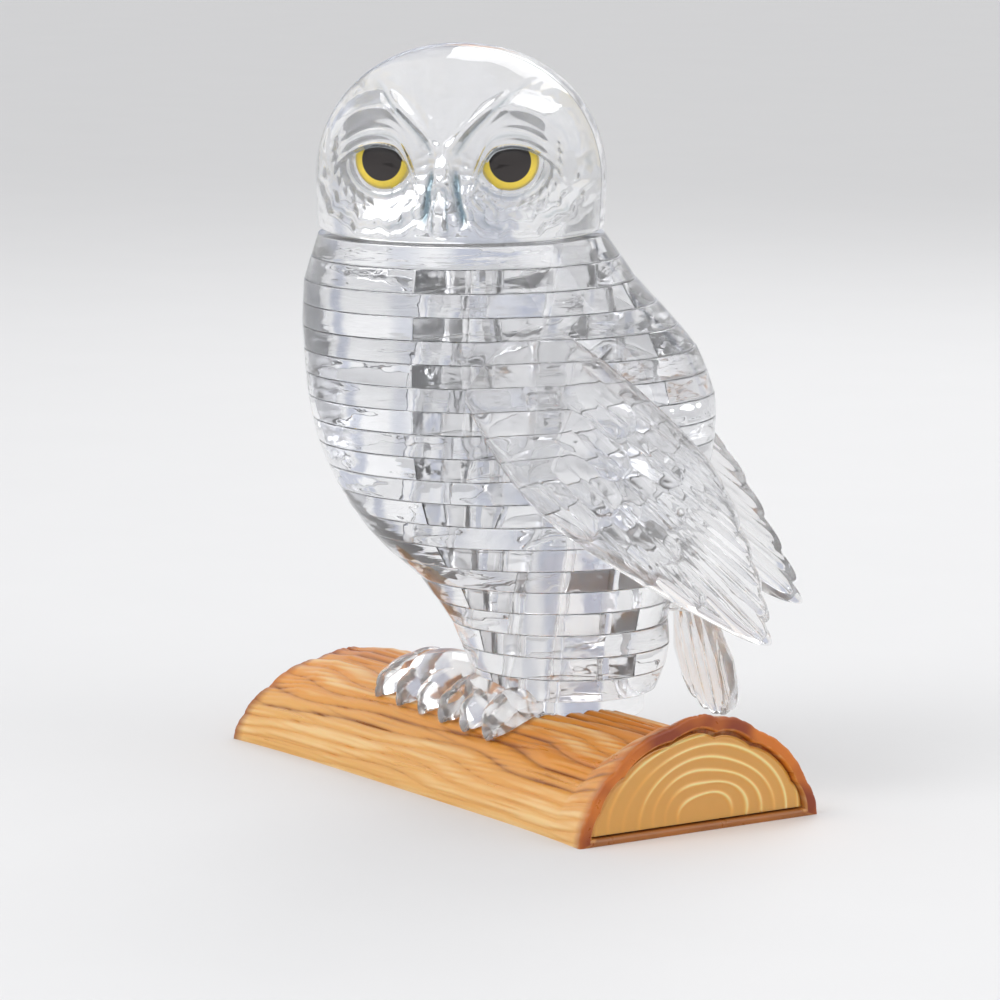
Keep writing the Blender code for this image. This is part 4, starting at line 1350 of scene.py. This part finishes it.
class OWL_OT_wings(bpy.types.Operator):
    """Build the two wings: crowned blades with rows of overlapping feather lobes"""

    bl_idname = "owl.wings"
    bl_label = "Wings"

    def execute(self, context):
        look = clear_look(context.scene.owl_finishes, "wings")
        for side, name in ((1, "left"), (-1, "right")):
            rings = wing_form(side)
            obj = put_mesh(f"feathered_wing_{name}", rings, grid_faces(*rings.shape[:2]))
            mend_seam(obj)
            move(obj, wing_matrix(side))
            join(obj, wing_tongue(side, 0.0), "UNION")
            move(obj, owl_frame())
            sharpen(obj, 55)
            dress(obj, look, f"wing_{name}", "clear_wings", f"wing_{name}")
        return {"FINISHED"}


def mend_seam(obj):
    """Closes the slit left where a grid's last ring folds onto the line down its middle."""
    made = bmesh.new()
    made.from_mesh(obj.data)
    edges = [edge for edge in made.edges if edge.is_boundary]
    if edges:
        bmesh.ops.holes_fill(made, edges=edges, sides=0)
    bmesh.ops.triangulate(made, faces=[face for face in made.faces if len(face.verts) > 4])
    bmesh.ops.recalc_face_normals(made, faces=made.faces)
    made.to_mesh(obj.data)
    made.free()


class OWL_OT_tail(bpy.types.Operator):
    """Build the tail: a flat fan of five ribs with a rounded end"""

    bl_idname = "owl.tail"
    bl_label = "Tail"

    def execute(self, context):
        wings, stack = context.scene.owl_wings, context.scene.owl_stack
        half, long, thick = wings.tail_wide / 2, wings.tail_long, wings.tail_thick / 2
        t = np.linspace(0, 1, 70)[:, None]
        around = circle(160)[None]
        wide = half * np.interp(t, (0, 0.5, 0.8, 1.0), (0.55, 1.0, 0.94, 0.80))
        across = np.cos(around)
        x = wide * signed_power(across, 0.8)
        ribs = np.abs(np.sin(2.5 * math.pi * (x / wide + 1) / 2 * 2))
        vane = 0.25 * np.sin(x / MM * 9 + t * 6)
        end = 1 - 0.16 * np.abs(x / wide) ** 2.2 - 0.05 * (1 - ribs)
        y = -long * t * (1 + (end - 1) * t**2)
        plump = signed_power(np.sin(around), 0.5)
        close = (1 - t**16) ** 0.4
        cut = wings.tail_rib * (1 - ribs**0.7 + vane * 0.35) * (np.abs(np.sin(around)) > 0.05)
        z = plump * close * (thick - cut)
        rings = np.stack([np.broadcast_to(x, z.shape), np.broadcast_to(y, z.shape), z], -1)
        rings[..., 2] = np.clip(rings[..., 2], -thick, thick)
        first = rings[:1].copy()
        first[..., :] = first.mean(1, keepdims=True)
        last = rings[-1:].copy()
        last[..., 2] = 0
        rings = np.concatenate([first, rings, last])
        obj = put_mesh("ribbed_tail", rings, grid_faces(*rings.shape[:2]))
        mend_seam(obj)
        rim = stack.post_back + float(rim_radius(wings.tail_level, QUARTER))
        top = sum(level_heights(wings.tail_level)) / 2 + wings.tongue_high
        place = Matrix.Translation((0, rim + wings.tail_off, top)) @ Matrix.Rotation(wings.tail_twist, 4, "Z")
        move(obj, place @ Matrix.Rotation(QUARTER + wings.tail_lean, 4, "X"))
        join(obj, tail_tongue(0.0), "UNION")
        move(obj, owl_frame())
        sharpen(obj, 55)
        look = clear_look(context.scene.owl_finishes, "wings")
        dress(obj, look, "tail", "clear_wings", "tail")
        return {"FINISHED"}


# ---------------------------------------------------------------- feet


def toe(feet, x, fan):
    """One plump toe with arched rolls over it and a short claw, in the feet's frame."""
    turned = Matrix.Rotation(fan, 4, "Z") @ Matrix.Rotation(feet.dip, 4, "X")
    place = Matrix.Translation((x, 0, feet.high)) @ turned
    made = egg("toe", (feet.half_wide, feet.half_long, feet.half_high), Matrix.Identity(4), 2.35, 80, 44)
    points = np.empty(len(made.data.vertices) * 3, np.float32)
    made.data.vertices.foreach_get("co", points)
    points = points.reshape(-1, 3)
    along = points[:, 1] / feet.half_long + 0.22 * (points[:, 2] / feet.half_high) ** 2
    upper = smooth_step(-0.4, 0.3, points[:, 2] / feet.half_high)
    roll = 1 - feet.roll * (1 - np.abs(np.cos(4.4 * along)) ** 0.7) * upper
    points[:, 0] *= roll
    points[:, 2] *= roll
    made.data.vertices.foreach_set("co", points.ravel())
    move(made, place)
    bend = np.linspace(0, 1, 14)
    path = np.stack(
        [
            np.zeros(14),
            -feet.half_long * 0.82 - feet.claw_long * 0.42 * np.sin(bend * 1.4),
            0.05 * feet.half_high - feet.claw_long * (1 - np.cos(bend * 1.5)) * 0.85,
        ],
        -1,
    )
    claw = tube("claw", path, feet.claw * (1 - bend**2) ** 0.6 + 0.08 * MM, 20)
    return join(made, move(claw, place), "UNION")


class OWL_OT_feet(bpy.types.Operator):
    """Build the feet: three toes and an ankle each, resting on the bark against the levels"""

    bl_idname = "owl.feet"
    bl_label = "Feet"

    def execute(self, context):
        sizes, stack = context.scene.owl_feet, context.scene.owl_stack
        log = context.scene.owl_log
        look = clear_look(context.scene.owl_finishes, "feet")
        at = Matrix.Translation((sizes.x, sizes.y, 0)) @ Matrix.Rotation(sizes.turned, 4, "Z")
        hip_out = OWL_SECTIONS[0][3] * MM / 2
        for side, name in ((1, "left"), (-1, "right")):
            middle = side * sizes.apart / 2
            obj = toe(sizes, middle, 0.0)
            obj.name = f"toed_foot_{name}"
            for across in (-1, 1):
                join(obj, toe(sizes, middle + across * sizes.spread, across * sizes.fan), "UNION")
            spot = Vector((middle - side * sizes.spread / 4, sizes.ankle_back, sizes.high + sizes.ankle_rise))
            join(obj, egg("ankle", (8.8 * MM, 6.5 * MM, 4.8 * MM), Matrix.Translation(spot), 2.1), "UNION")
            if side < 0:
                hip = at.inverted() @ owl_frame() @ Vector((-hip_out, 0, 0))
                path = np.linspace(spot, Vector((hip.x, hip.y, spot.z)), 12)
                join(obj, tube("shin", path, np.full(12, sizes.shin), 40), "UNION")
            move(obj, at)
            join(obj, log_blank(log, stack.gap), "DIFFERENCE")
            for level in range(3):
                around = circle(120)
                low, high = level_heights(level)
                foot, top = (
                    round_post(rim_radius(level + end * rim_reach(level), around) + stack.gap, around)
                    for end in (-1, 1)
                )
                cutter = prism("cutter", foot, low - stack.gap, high + stack.gap, top)
                join(obj, move(cutter, owl_frame()), "DIFFERENCE")
            sharpen(obj, 45)
            dress(obj, look, body_of(f"foot_{name}"), "clear_feet", f"foot_{name}")
        return {"FINISHED"}


def log_blank(sizes, grow):
    """The log's plain arch, grown all round."""
    angles = np.linspace(0, math.pi, 90)
    y, z = arch(angles)
    stations = np.linspace(-1, 1, 60) * sizes.long / 2
    rings = np.stack(
        [
            np.stack(
                [np.full(90, x), (log_half_width(x) + grow) * y, (log_height(x) + grow) * z], -1
            )
            for x in stations
        ]
    )
    ends = [ring.mean(0, keepdims=True).repeat(90, 0)[None] for ring in (rings[0], rings[-1])]
    rings = np.concatenate([ends[0], rings, ends[1]])
    return put_mesh("log_blank", rings, grid_faces(*rings.shape[:2]))


# ---------------------------------------------------------------- head


def head_matrix():
    """The head's frame: its face looks along -Y, Z is up."""
    sizes = bpy.context.scene.owl_head
    facing = sizes.facing - bpy.context.scene.owl_stack.facing
    return owl_frame() @ Matrix.Translation((0, sizes.back, 0)) @ Matrix.Rotation(facing, 4, "Z")


def eye_matrix(side):
    """A frame at an eye's seat, with Z out of the face."""
    sizes = bpy.context.scene.owl_head
    spot = Vector((side * sizes.eye_apart / 2, -sizes.eye_forward, stack_top() + sizes.eye_high))
    outwards = Matrix.Rotation(side * sizes.eye_out, 4, "Z")
    return Matrix.Translation(spot) @ outwards @ Matrix.Rotation(QUARTER, 4, "X")


def lid_height(x):
    """Height of the lid's edge over an eye's middle, x outwards: a shallow arch that drops
    towards the beak."""
    sizes = bpy.context.scene.owl_head
    inner = np.maximum(0, -1.8 - x / MM)
    return sizes.lid - (0.07 * (x / MM - 0.6) ** 2 + 0.3 * inner**2) * MM


def eye_outline(grow):
    """An eye's outline, a circle whose top is cut by the lid's arch, for the owl's left eye."""
    sizes = bpy.context.scene.owl_head
    around = circle(200)
    radius = sizes.eye_radius + grow
    x, y = radius * np.cos(around), radius * np.sin(around)
    floor = -radius * np.sqrt(np.maximum(1 - (x / radius) ** 2, 0))
    return np.stack([x, np.maximum(np.minimum(y, lid_height(x) + grow), floor)], -1)


def head_reach(origin, direction):
    """How far the head's plain form lies from origin along unit directions.

    The form is ((r / R)^p + ((z - c) / D)^p = 1) above the skirt and a near-cylinder below it,
    closed by the stack's top. Halving finds the distance, and a soft minimum rounds the foot.
    """
    sizes = bpy.context.scene.owl_head
    foot = stack_top()
    centre = foot + sizes.skirt

    def outside(reach):
        p = origin + reach[..., None] * direction
        r = np.hypot(p[..., 0], p[..., 1])
        up = np.maximum(p[..., 2] - centre, 0)
        taper = 1 - 0.015 * np.clip((centre - p[..., 2]) / sizes.skirt, 0, 1)
        return (r / (sizes.radius * taper)) ** sizes.power + (up / sizes.dome) ** sizes.power - 1

    low, high = np.zeros(direction.shape[:-1]), np.full(direction.shape[:-1], 2.5 * sizes.radius)
    for _ in range(36):
        half = (low + high) / 2
        inside = outside(half) < 0
        low, high = np.where(inside, half, low), np.where(inside, high, half)
    down = np.maximum(-direction[..., 2], 1e-9)
    floor = (origin[2] - foot) / down
    soft = 22.0
    return (low**-soft + floor**-soft) ** (-1 / soft)


def hemisphere(front):
    """Directions over half a ball about the head's split plane, from the pole out to the plane."""
    polar = np.linspace(0, QUARTER, 190)[:, None]
    around = circle(420)[None]
    return np.stack(
        [
            np.sin(polar) * np.cos(around),
            np.broadcast_to((-1 if front else 1) * np.cos(polar), (190, 420)),
            np.sin(polar) * np.sin(around),
        ],
        -1,
    )


def bump_line(off, width):
    """A smooth ridge, 1 on its line and fading over width."""
    return np.exp(-((off / width) ** 2))


def face_relief(points):
    """Moves the front of the head into a face, as a function of (x, z) seen from the front.

    A dish about each eye runs out to a raised, wavy ring. Lids fold forward over each eye and bags
    lie under it. Two brows rise from the beak's root in a V. The beak is a ridge that widens and
    stands out towards its foot between two grooves, with leafy tufts beside it. Returns the moved
    points and a share from 0 to 1 of painted shade at each: the lid, fold, bag, rim and brow lines,
    the beak's grooves and split, and the hollows between the tufts are darkened as creases.
    """
    sizes = bpy.context.scene.owl_head
    x, y, z = points[..., 0] / MM, points[..., 1] / MM, (points[..., 2] - stack_top()) / MM
    forward = smooth_step(4, 11, -y)
    # The crease share is painted shade: how far each point is darkened towards the crease tint.
    surface, painted_crease_shade = y.copy(), np.zeros_like(y)
    disc, radius = sizes.disc / MM, sizes.eye_radius / MM
    for side in (1, -1):
        half = smooth_step(-0.4, 0.8, side * x)
        lx, lz = side * x - sizes.eye_apart / 2 / MM, z - sizes.eye_high / MM
        far_eye = np.hypot(lx, lz)
        far = np.hypot(side * x - 11.0, z - 14.2)
        angle = np.arctan2(z - 14.2, side * x - 11.0)
        seat = -(sizes.eye_forward / MM) + lx * math.tan(sizes.eye_out) - 0.3
        dish = seat - 0.8 * smooth_step(5.2, 9.5, far_eye)
        over = lz - lid_height(lx * MM) / MM
        roll = smooth_step(-0.1, 0.7, over) * (1 - smooth_step(5.6, 8.0, np.abs(lx)))
        folds = np.cos(over * 3.0 - 0.4) * smooth_step(0.4, 1.0, over) * (1 - smooth_step(2.8, 5.0, over))
        dish = dish - roll * (2.2 - 0.4 * smooth_step(1.0, 5.0, over) + 0.34 * folds)
        bags = np.cos((far_eye - radius) * 3.6) * smooth_step(0.3, 0.9, far_eye - radius)
        under = (1 - smooth_step(2.6, 4.2, far_eye - radius)) * smooth_step(0.5, -1.5, over)
        dish = dish + 0.36 * bags * under
        rays = np.abs(np.sin(15 * angle + 1.6 * np.sin(far * 0.8))) ** 0.6
        low = 1 - smooth_step(1.0, 6.0, lz)
        dish = dish + 0.5 * (1 - rays) * smooth_step(5.8, 8.2, far) * low
        dish = np.minimum(dish, surface + 5.5)
        mask = (1 - smooth_step(disc - 3.2, disc - 0.2, far)) * half
        surface = surface + (dish - surface) * mask * forward
        wavy = disc + 0.35 * np.sin(13 * angle) + 0.2 * np.sin(29 * angle + 1)
        ring = 0.85 * bump_line(far - wavy, 0.7) * (1 + 0.3 * np.cos(17 * angle))
        ring = ring - 0.6 * bump_line(far - wavy - 1.5, 0.6) + 0.35 * bump_line(far - wavy - 2.9, 0.7) * low
        plain = smooth_step(14.5, 17.0, z) * (1 - smooth_step(12.0, 16.0, side * x))
        surface = surface - ring * (1 - plain) * half * forward
        lid_line = bump_line(over - 0.25, 0.3) * (1 - smooth_step(4.6, 6.4, np.abs(lx)))
        fold_line = bump_line(over - 2.3, 0.22) * (1 - smooth_step(3.0, 5.6, np.abs(lx)))
        bag_line = bump_line(far_eye - radius - 1.1, 0.25) * smooth_step(-1.0, -3.0, over)
        broken = smooth_step(0.2, 0.6, np.sin(7 * angle + 2))
        rim_line = bump_line(far - wavy - 0.9, 0.35) * (1 - plain) * broken
        edge = 0.8 * lid_line + 0.5 * fold_line + 0.45 * bag_line + 0.5 * rim_line * low
        rise = np.clip((z - 14.0) / 10.8, 0, 1.1)
        brow = side * x - 0.5 - 9.8 * rise**1.35
        strong = smooth_step(13.6, 15.5, z) * (1 - smooth_step(23.0, 26.0, z)) * half
        line = 1.2 * bump_line(brow, 0.8) - 0.7 * bump_line(brow - 1.5, 0.6)
        line = line + 0.4 * bump_line(brow - 2.7, 0.6)
        surface = surface - line * strong * forward
        edge = edge + 0.7 * bump_line(brow - 1.4, 0.35) * strong
        painted_crease_shade = np.maximum(painted_crease_shade, edge * half * forward)
    up = np.clip((z - 1.5) / 13.0, 0, 1)
    wide = sizes.beak_wide / MM * (1 - 0.70 * up**0.9) * smooth_step(-0.6, 3.4, z)
    wide = np.maximum(wide, 0.2)
    out = (sizes.beak_out / MM - 3.2 * up**1.3) * smooth_step(0.6, 2.6, z) * (1 - smooth_step(13.0, 15.0, z))
    across = np.abs(x)
    beak = out * np.clip(1 - (across / wide) ** 1.6, 0, 1) ** 0.6
    beak = beak - 0.9 * bump_line(across - 0.48 * wide, 0.3) * smooth_step(1.5, 3, z) * (1 - up)
    beside = smooth_step(2.0, 4.5, z) * (1 - smooth_step(10, 13, z))
    groove = 2.6 * bump_line(across - wide - 0.5, 0.6) * beside
    surface = surface + (groove - beak) * forward
    # Painted shade also darkens the beak's grooves, the line down the beak and the hollows between the tufts.
    painted_crease_shade = np.maximum(painted_crease_shade, np.minimum(0.95, groove / 2.2) * forward)
    split = bump_line(across - 0.48 * wide, 0.22) * smooth_step(1.5, 3, z) * (1 - smooth_step(7, 11, z))
    painted_crease_shade = np.maximum(painted_crease_shade, 0.75 * split * forward)
    leaves = np.abs(np.sin(across * 1.7 + z * 0.9 + 0.6 * np.sin(z * 2))) ** 0.5
    zone = smooth_step(3.4, 4.6, across) * (1 - smooth_step(8.0, 10.5, across))
    zone = zone * smooth_step(2.0, 3.4, z) * (1 - smooth_step(6.2, 8.4, z - 0.25 * across))
    surface = surface + 1.0 * (1 - leaves) * zone * forward
    painted_crease_shade = np.maximum(painted_crease_shade, 0.8 * (1 - leaves) ** 2 * zone * forward)
    moved = points.copy()
    moved[..., 1] = surface * MM
    return moved, np.clip(painted_crease_shade, 0, 1)


class OWL_OT_head(bpy.types.Operator):
    """Build the head: a sculpted face and a plain back, joined on an upright plane"""

    bl_idname = "owl.head"
    bl_label = "Head"

    def execute(self, context):
        sizes, stack = context.scene.owl_head, context.scene.owl_stack
        look = clear_look(context.scene.owl_finishes, "head")
        for front, name in ((True, "face"), (False, "back")):
            side = -1 if front else 1
            plane = sizes.split + side * stack.gap / 2
            origin = np.array([0, plane, stack_top() + 11 * MM])
            direction = hemisphere(front)
            reach = head_reach(origin, direction)
            points = origin + reach[..., None] * direction
            # Painted shade in the face's creases; the back carries none.
            painted_crease_shade = np.zeros(points.shape[:2])
            if front:
                points, painted_crease_shade = face_relief(points)
            points[-1, :, 1] = plane
            middle = np.broadcast_to(origin, (1, points.shape[1], 3))
            rings = np.concatenate([points, middle])
            obj = put_mesh(f"owl_{name}", rings, grid_faces(*rings.shape[:2]))
            carry(obj, rings, "painted_crease_shade", np.concatenate([painted_crease_shade, np.zeros((1, painted_crease_shade.shape[1]))]))
            if front:
                for eye in (1, -1):
                    loop = eye_outline(0.25 * MM)
                    loop[:, 0] *= eye
                    deep = stack.gap - sizes.eye_thick - 0.3 * MM
                    well = prism("well", loop, deep, 8 * MM)
                    join(obj, move(well, eye_matrix(eye)), "DIFFERENCE")
            else:
                post = head_matrix().inverted() @ owl_frame() @ Vector((0, stack.post_back, 0))
                loop = circle(64)
                ring = np.stack([np.cos(loop), np.sin(loop)], -1)
                hole = (stack.post + stack.gap) * ring + np.array(post.xy)
                top = stack_top() + stack.post_in_head + stack.gap
                join(obj, prism("socket", hole, stack_top() - 2 * MM, top), "DIFFERENCE")
            move(obj, head_matrix())
            sharpen(obj, 60)
            dress(obj, look, "head", "clear_head", f"head_{name}")
        return {"FINISHED"}


class OWL_OT_eyes(bpy.types.Operator):
    """Build the printed eyes: crowned plates whose tops are cut by the lids"""

    bl_idname = "owl.eyes"
    bl_label = "Eyes"

    def execute(self, context):
        sizes, gap = context.scene.owl_head, context.scene.owl_stack.gap
        look = eye_look(context.scene.owl_finishes)
        for side, name in ((1, "left"), (-1, "right")):
            loop = eye_outline(0.0)
            loop[:, 0] *= side
            share = np.linspace(1, 0, 40)[:, None, None]
            centre = np.array([0.0, -0.6 * MM])
            flat = centre + share * (loop - centre)
            far = np.hypot(flat[..., 0], flat[..., 1]) / sizes.eye_radius
            round_edge = (1 - np.broadcast_to(share[..., 0], far.shape) ** 12) ** 0.5
            high = sizes.eye_crown * np.sqrt(np.clip(1.02 - far**2, 0, 1)) * round_edge
            top = np.concatenate([flat, high[..., None]], -1)
            base = np.concatenate([flat[:1], np.full(flat[:1].shape[:2] + (1,), gap - sizes.eye_thick)], -1)
            middle = base.mean(1, keepdims=True).repeat(base.shape[1], 1)
            rings = np.concatenate([middle, base, top])
            obj = put_mesh(f"printed_eye_{name}", rings, grid_faces(*rings.shape[:2]))
            carry(obj, rings, "iris", np.concatenate([np.ones((2, far.shape[1])), far]))
            move(obj, head_matrix() @ eye_matrix(side))
            sharpen(obj, 40)
            dress(obj, look, "head", "eye_print", f"eye_{name}")
        return {"FINISHED"}


# ---------------------------------------------------------------- stage


class OWL_OT_stage(bpy.types.Operator):
    """Set up the floor, the lamps, the even light and the camera"""

    bl_idname = "owl.stage"
    bl_label = "Stage"

    def execute(self, context):
        sizes, scene = context.scene.owl_stage, context.scene
        make_floor(context.scene.owl_finishes)
        middle = Vector((0, 0, sizes.aim))
        azimuth, elevation = sizes.azimuth, sizes.elevation
        flat = math.cos(elevation)
        back = Vector((math.sin(azimuth) * flat, -math.cos(azimuth) * flat, math.sin(elevation)))
        right = Vector((math.cos(azimuth), math.sin(azimuth), 0))
        up = back.cross(right)
        camera = bpy.data.objects.new("camera", bpy.data.cameras.new("camera"))
        camera.data.sensor_width = 36
        camera.data.lens = sizes.lens
        camera.data.clip_start, camera.data.clip_end = 0.01, 20
        axes = Matrix((right, up, back)).transposed().to_4x4()
        place = middle + right * sizes.aside + up * sizes.above + back * sizes.far
        camera.matrix_world = Matrix.Translation(place) @ axes
        scene.collection.objects.link(camera)
        scene.camera = camera
        for name, offset, side, power in (
            ("key", (-0.45, 0.5, 0.35), 0.35, sizes.key),
            ("fill", (0.55, 0.2, 0.35), 0.45, sizes.fill),
            ("back", (0.15, 0.55, -0.5), 0.4, sizes.back),
        ):
            lamp = bpy.data.lights.new(name, "AREA")
            lamp.size = side
            lamp.energy = power
            obj = bpy.data.objects.new(name, lamp)
            spot = middle + right * offset[0] + up * offset[1] + back * offset[2]
            aimed = (spot - middle).to_track_quat("Z", "Y").to_matrix().to_4x4()
            obj.matrix_world = Matrix.Translation(spot) @ aimed
            scene.collection.objects.link(obj)
        make_sky(sizes)
        scene.view_settings.view_transform = "Standard"
        cycles = scene.cycles
        cycles.max_bounces = cycles.transmission_bounces = cycles.glossy_bounces = sizes.bounces
        cycles.diffuse_bounces = sizes.bounces // 4
        return {"FINISHED"}


def make_floor(finishes):
    """A wide flat floor: rings of points whose radii grow with the square of their number."""
    radius = 9.0 * np.linspace(0, 1, 40) ** 2
    height = np.zeros(40)
    around = circle(96)
    rings = np.stack(
        [
            radius[:, None] * np.cos(around),
            radius[:, None] * np.sin(around),
            np.broadcast_to(height[:, None], (len(radius), 96)),
        ],
        -1,
    )
    faces = grid_faces(len(radius), 96)
    mesh = bpy.data.meshes.new("floor")
    mesh.from_pydata(rings.reshape(-1, 3).tolist(), [], faces)
    mesh.polygons.foreach_set("use_smooth", [True] * len(mesh.polygons))
    floor = bpy.data.objects.new("floor", mesh)
    bpy.context.scene.collection.objects.link(floor)
    made, tree = new_look("pale_floor")
    place = node(tree, "TexCoord").outputs["Object"]
    dust = node(tree, "TexNoise", {"Vector": place, "Scale": 30.0, "Detail": 3.0})
    tint = ramp(
        tree,
        dust.outputs["Fac"],
        (0.2, tuple(c * 0.985 for c in finishes.floor)),
        (0.8, tuple(finishes.floor)),
    )
    shader = node(tree, "BsdfPrincipled", {"Base Color": tint, "Roughness": 0.7})
    finish_look(tree, shader)
    mesh.materials.append(made)


def make_sky(sizes):
    """Even light: plain for lighting, and white with soft grey cards for gloss and clear plastic.

    The cards are upright bands, a sum of sines of the direction round the object, that fade out
    overhead.
    """
    world = bpy.data.worlds.new("studio")
    bpy.context.scene.world = world
    world.use_nodes = True
    tree = world.node_tree
    tree.nodes.clear()
    way = node(tree, "TexCoord").outputs["Generated"]
    axes = node(tree, "SeparateXYZ", {"Vector": way}).outputs
    turned = node(tree, "Math", {0: axes["Y"], 1: axes["X"]}, operation="ARCTAN2").outputs[0]
    bands = None
    for times, shift in ((3.0, 0.4), (7.0, 2.1), (13.0, 4.0)):
        angle = node(tree, "Math", {0: turned, 1: times, 2: shift}, operation="MULTIPLY_ADD").outputs[0]
        wave = node(tree, "Math", {0: angle}, operation="SINE").outputs[0]
        bands = wave if bands is None else node(tree, "Math", {0: bands, 1: wave}, operation="ADD").outputs[0]
    card = node(tree, "MapRange", {"Value": bands, "From Min": 0.35, "From Max": 1.3}).outputs["Result"]
    high = node(
        tree,
        "MapRange",
        {"Value": axes["Z"], "From Min": 0.35, "From Max": 0.8, "To Min": 1.0, "To Max": 0.0},
    ).outputs["Result"]
    card = node(tree, "Math", {0: card, 1: high}, operation="MULTIPLY").outputs[0]
    tint = ramp(tree, card, (0.0, (1.0, 1.0, 1.0)), (1.0, tuple(sizes.card)))
    ways = node(tree, "LightPath").outputs
    rays = {0: ways["Is Glossy Ray"], 1: ways["Is Transmission Ray"]}
    seen = node(tree, "Math", rays, operation="ADD").outputs[0]
    plain = node(tree, "Background", {"Color": (1, 1, 1, 1), "Strength": sizes.sky}).outputs[0]
    carded = node(tree, "Background", {"Color": tint, "Strength": sizes.glow}).outputs[0]
    white = node(tree, "Background", {"Color": (1, 1, 1, 1), "Strength": 1.0}).outputs[0]
    lit = node(tree, "MixShader", {0: seen, 1: plain, 2: carded}).outputs[0]
    mixed = node(tree, "MixShader", {0: ways["Is Camera Ray"], 1: lit, 2: white})
    out = tree.nodes.new("ShaderNodeOutputWorld")
    tree.links.new(mixed.outputs[0], out.inputs["Surface"])


# ---------------------------------------------------------------- panel and run


GROUPS = {
    "owl_log": LogSizes,
    "owl_stack": StackSizes,
    "owl_wings": WingSizes,
    "owl_feet": FeetSizes,
    "owl_head": HeadSizes,
    "owl_finishes": Finishes,
    "owl_stage": StageSizes,
}
OPERATORS = (
    OWL_OT_log,
    OWL_OT_log_ends,
    OWL_OT_stack,
    OWL_OT_post,
    OWL_OT_wings,
    OWL_OT_tail,
    OWL_OT_feet,
    OWL_OT_head,
    OWL_OT_eyes,
    OWL_OT_stage,
)


class OWL_PT_panel(bpy.types.Panel):
    """The owl's pieces and their sizes"""

    bl_idname = "OWL_PT_panel"
    bl_label = "Puzzle Owl"
    bl_space_type = "VIEW_3D"
    bl_region_type = "UI"
    bl_category = "Puzzle Owl"

    def draw(self, context):
        for maker in OPERATORS:
            self.layout.operator(maker.bl_idname)
        for name, group in GROUPS.items():
            box = self.layout.box()
            box.label(text=group.__doc__)
            for prop in group.__annotations__:
                box.prop(getattr(context.scene, name), prop)


def register():
    for made in (*GROUPS.values(), *OPERATORS, OWL_PT_panel):
        bpy.utils.register_class(made)
    for name, group in GROUPS.items():
        setattr(bpy.types.Scene, name, PointerProperty(type=group))


def unregister():
    for name in GROUPS:
        delattr(bpy.types.Scene, name)
    for made in reversed((*GROUPS.values(), *OPERATORS, OWL_PT_panel)):
        bpy.utils.unregister_class(made)


def main():
    register()
    for maker in OPERATORS:
        group, name = maker.bl_idname.split(".")
        getattr(getattr(bpy.ops, group), name)()


if __name__ == "__main__":
    main()
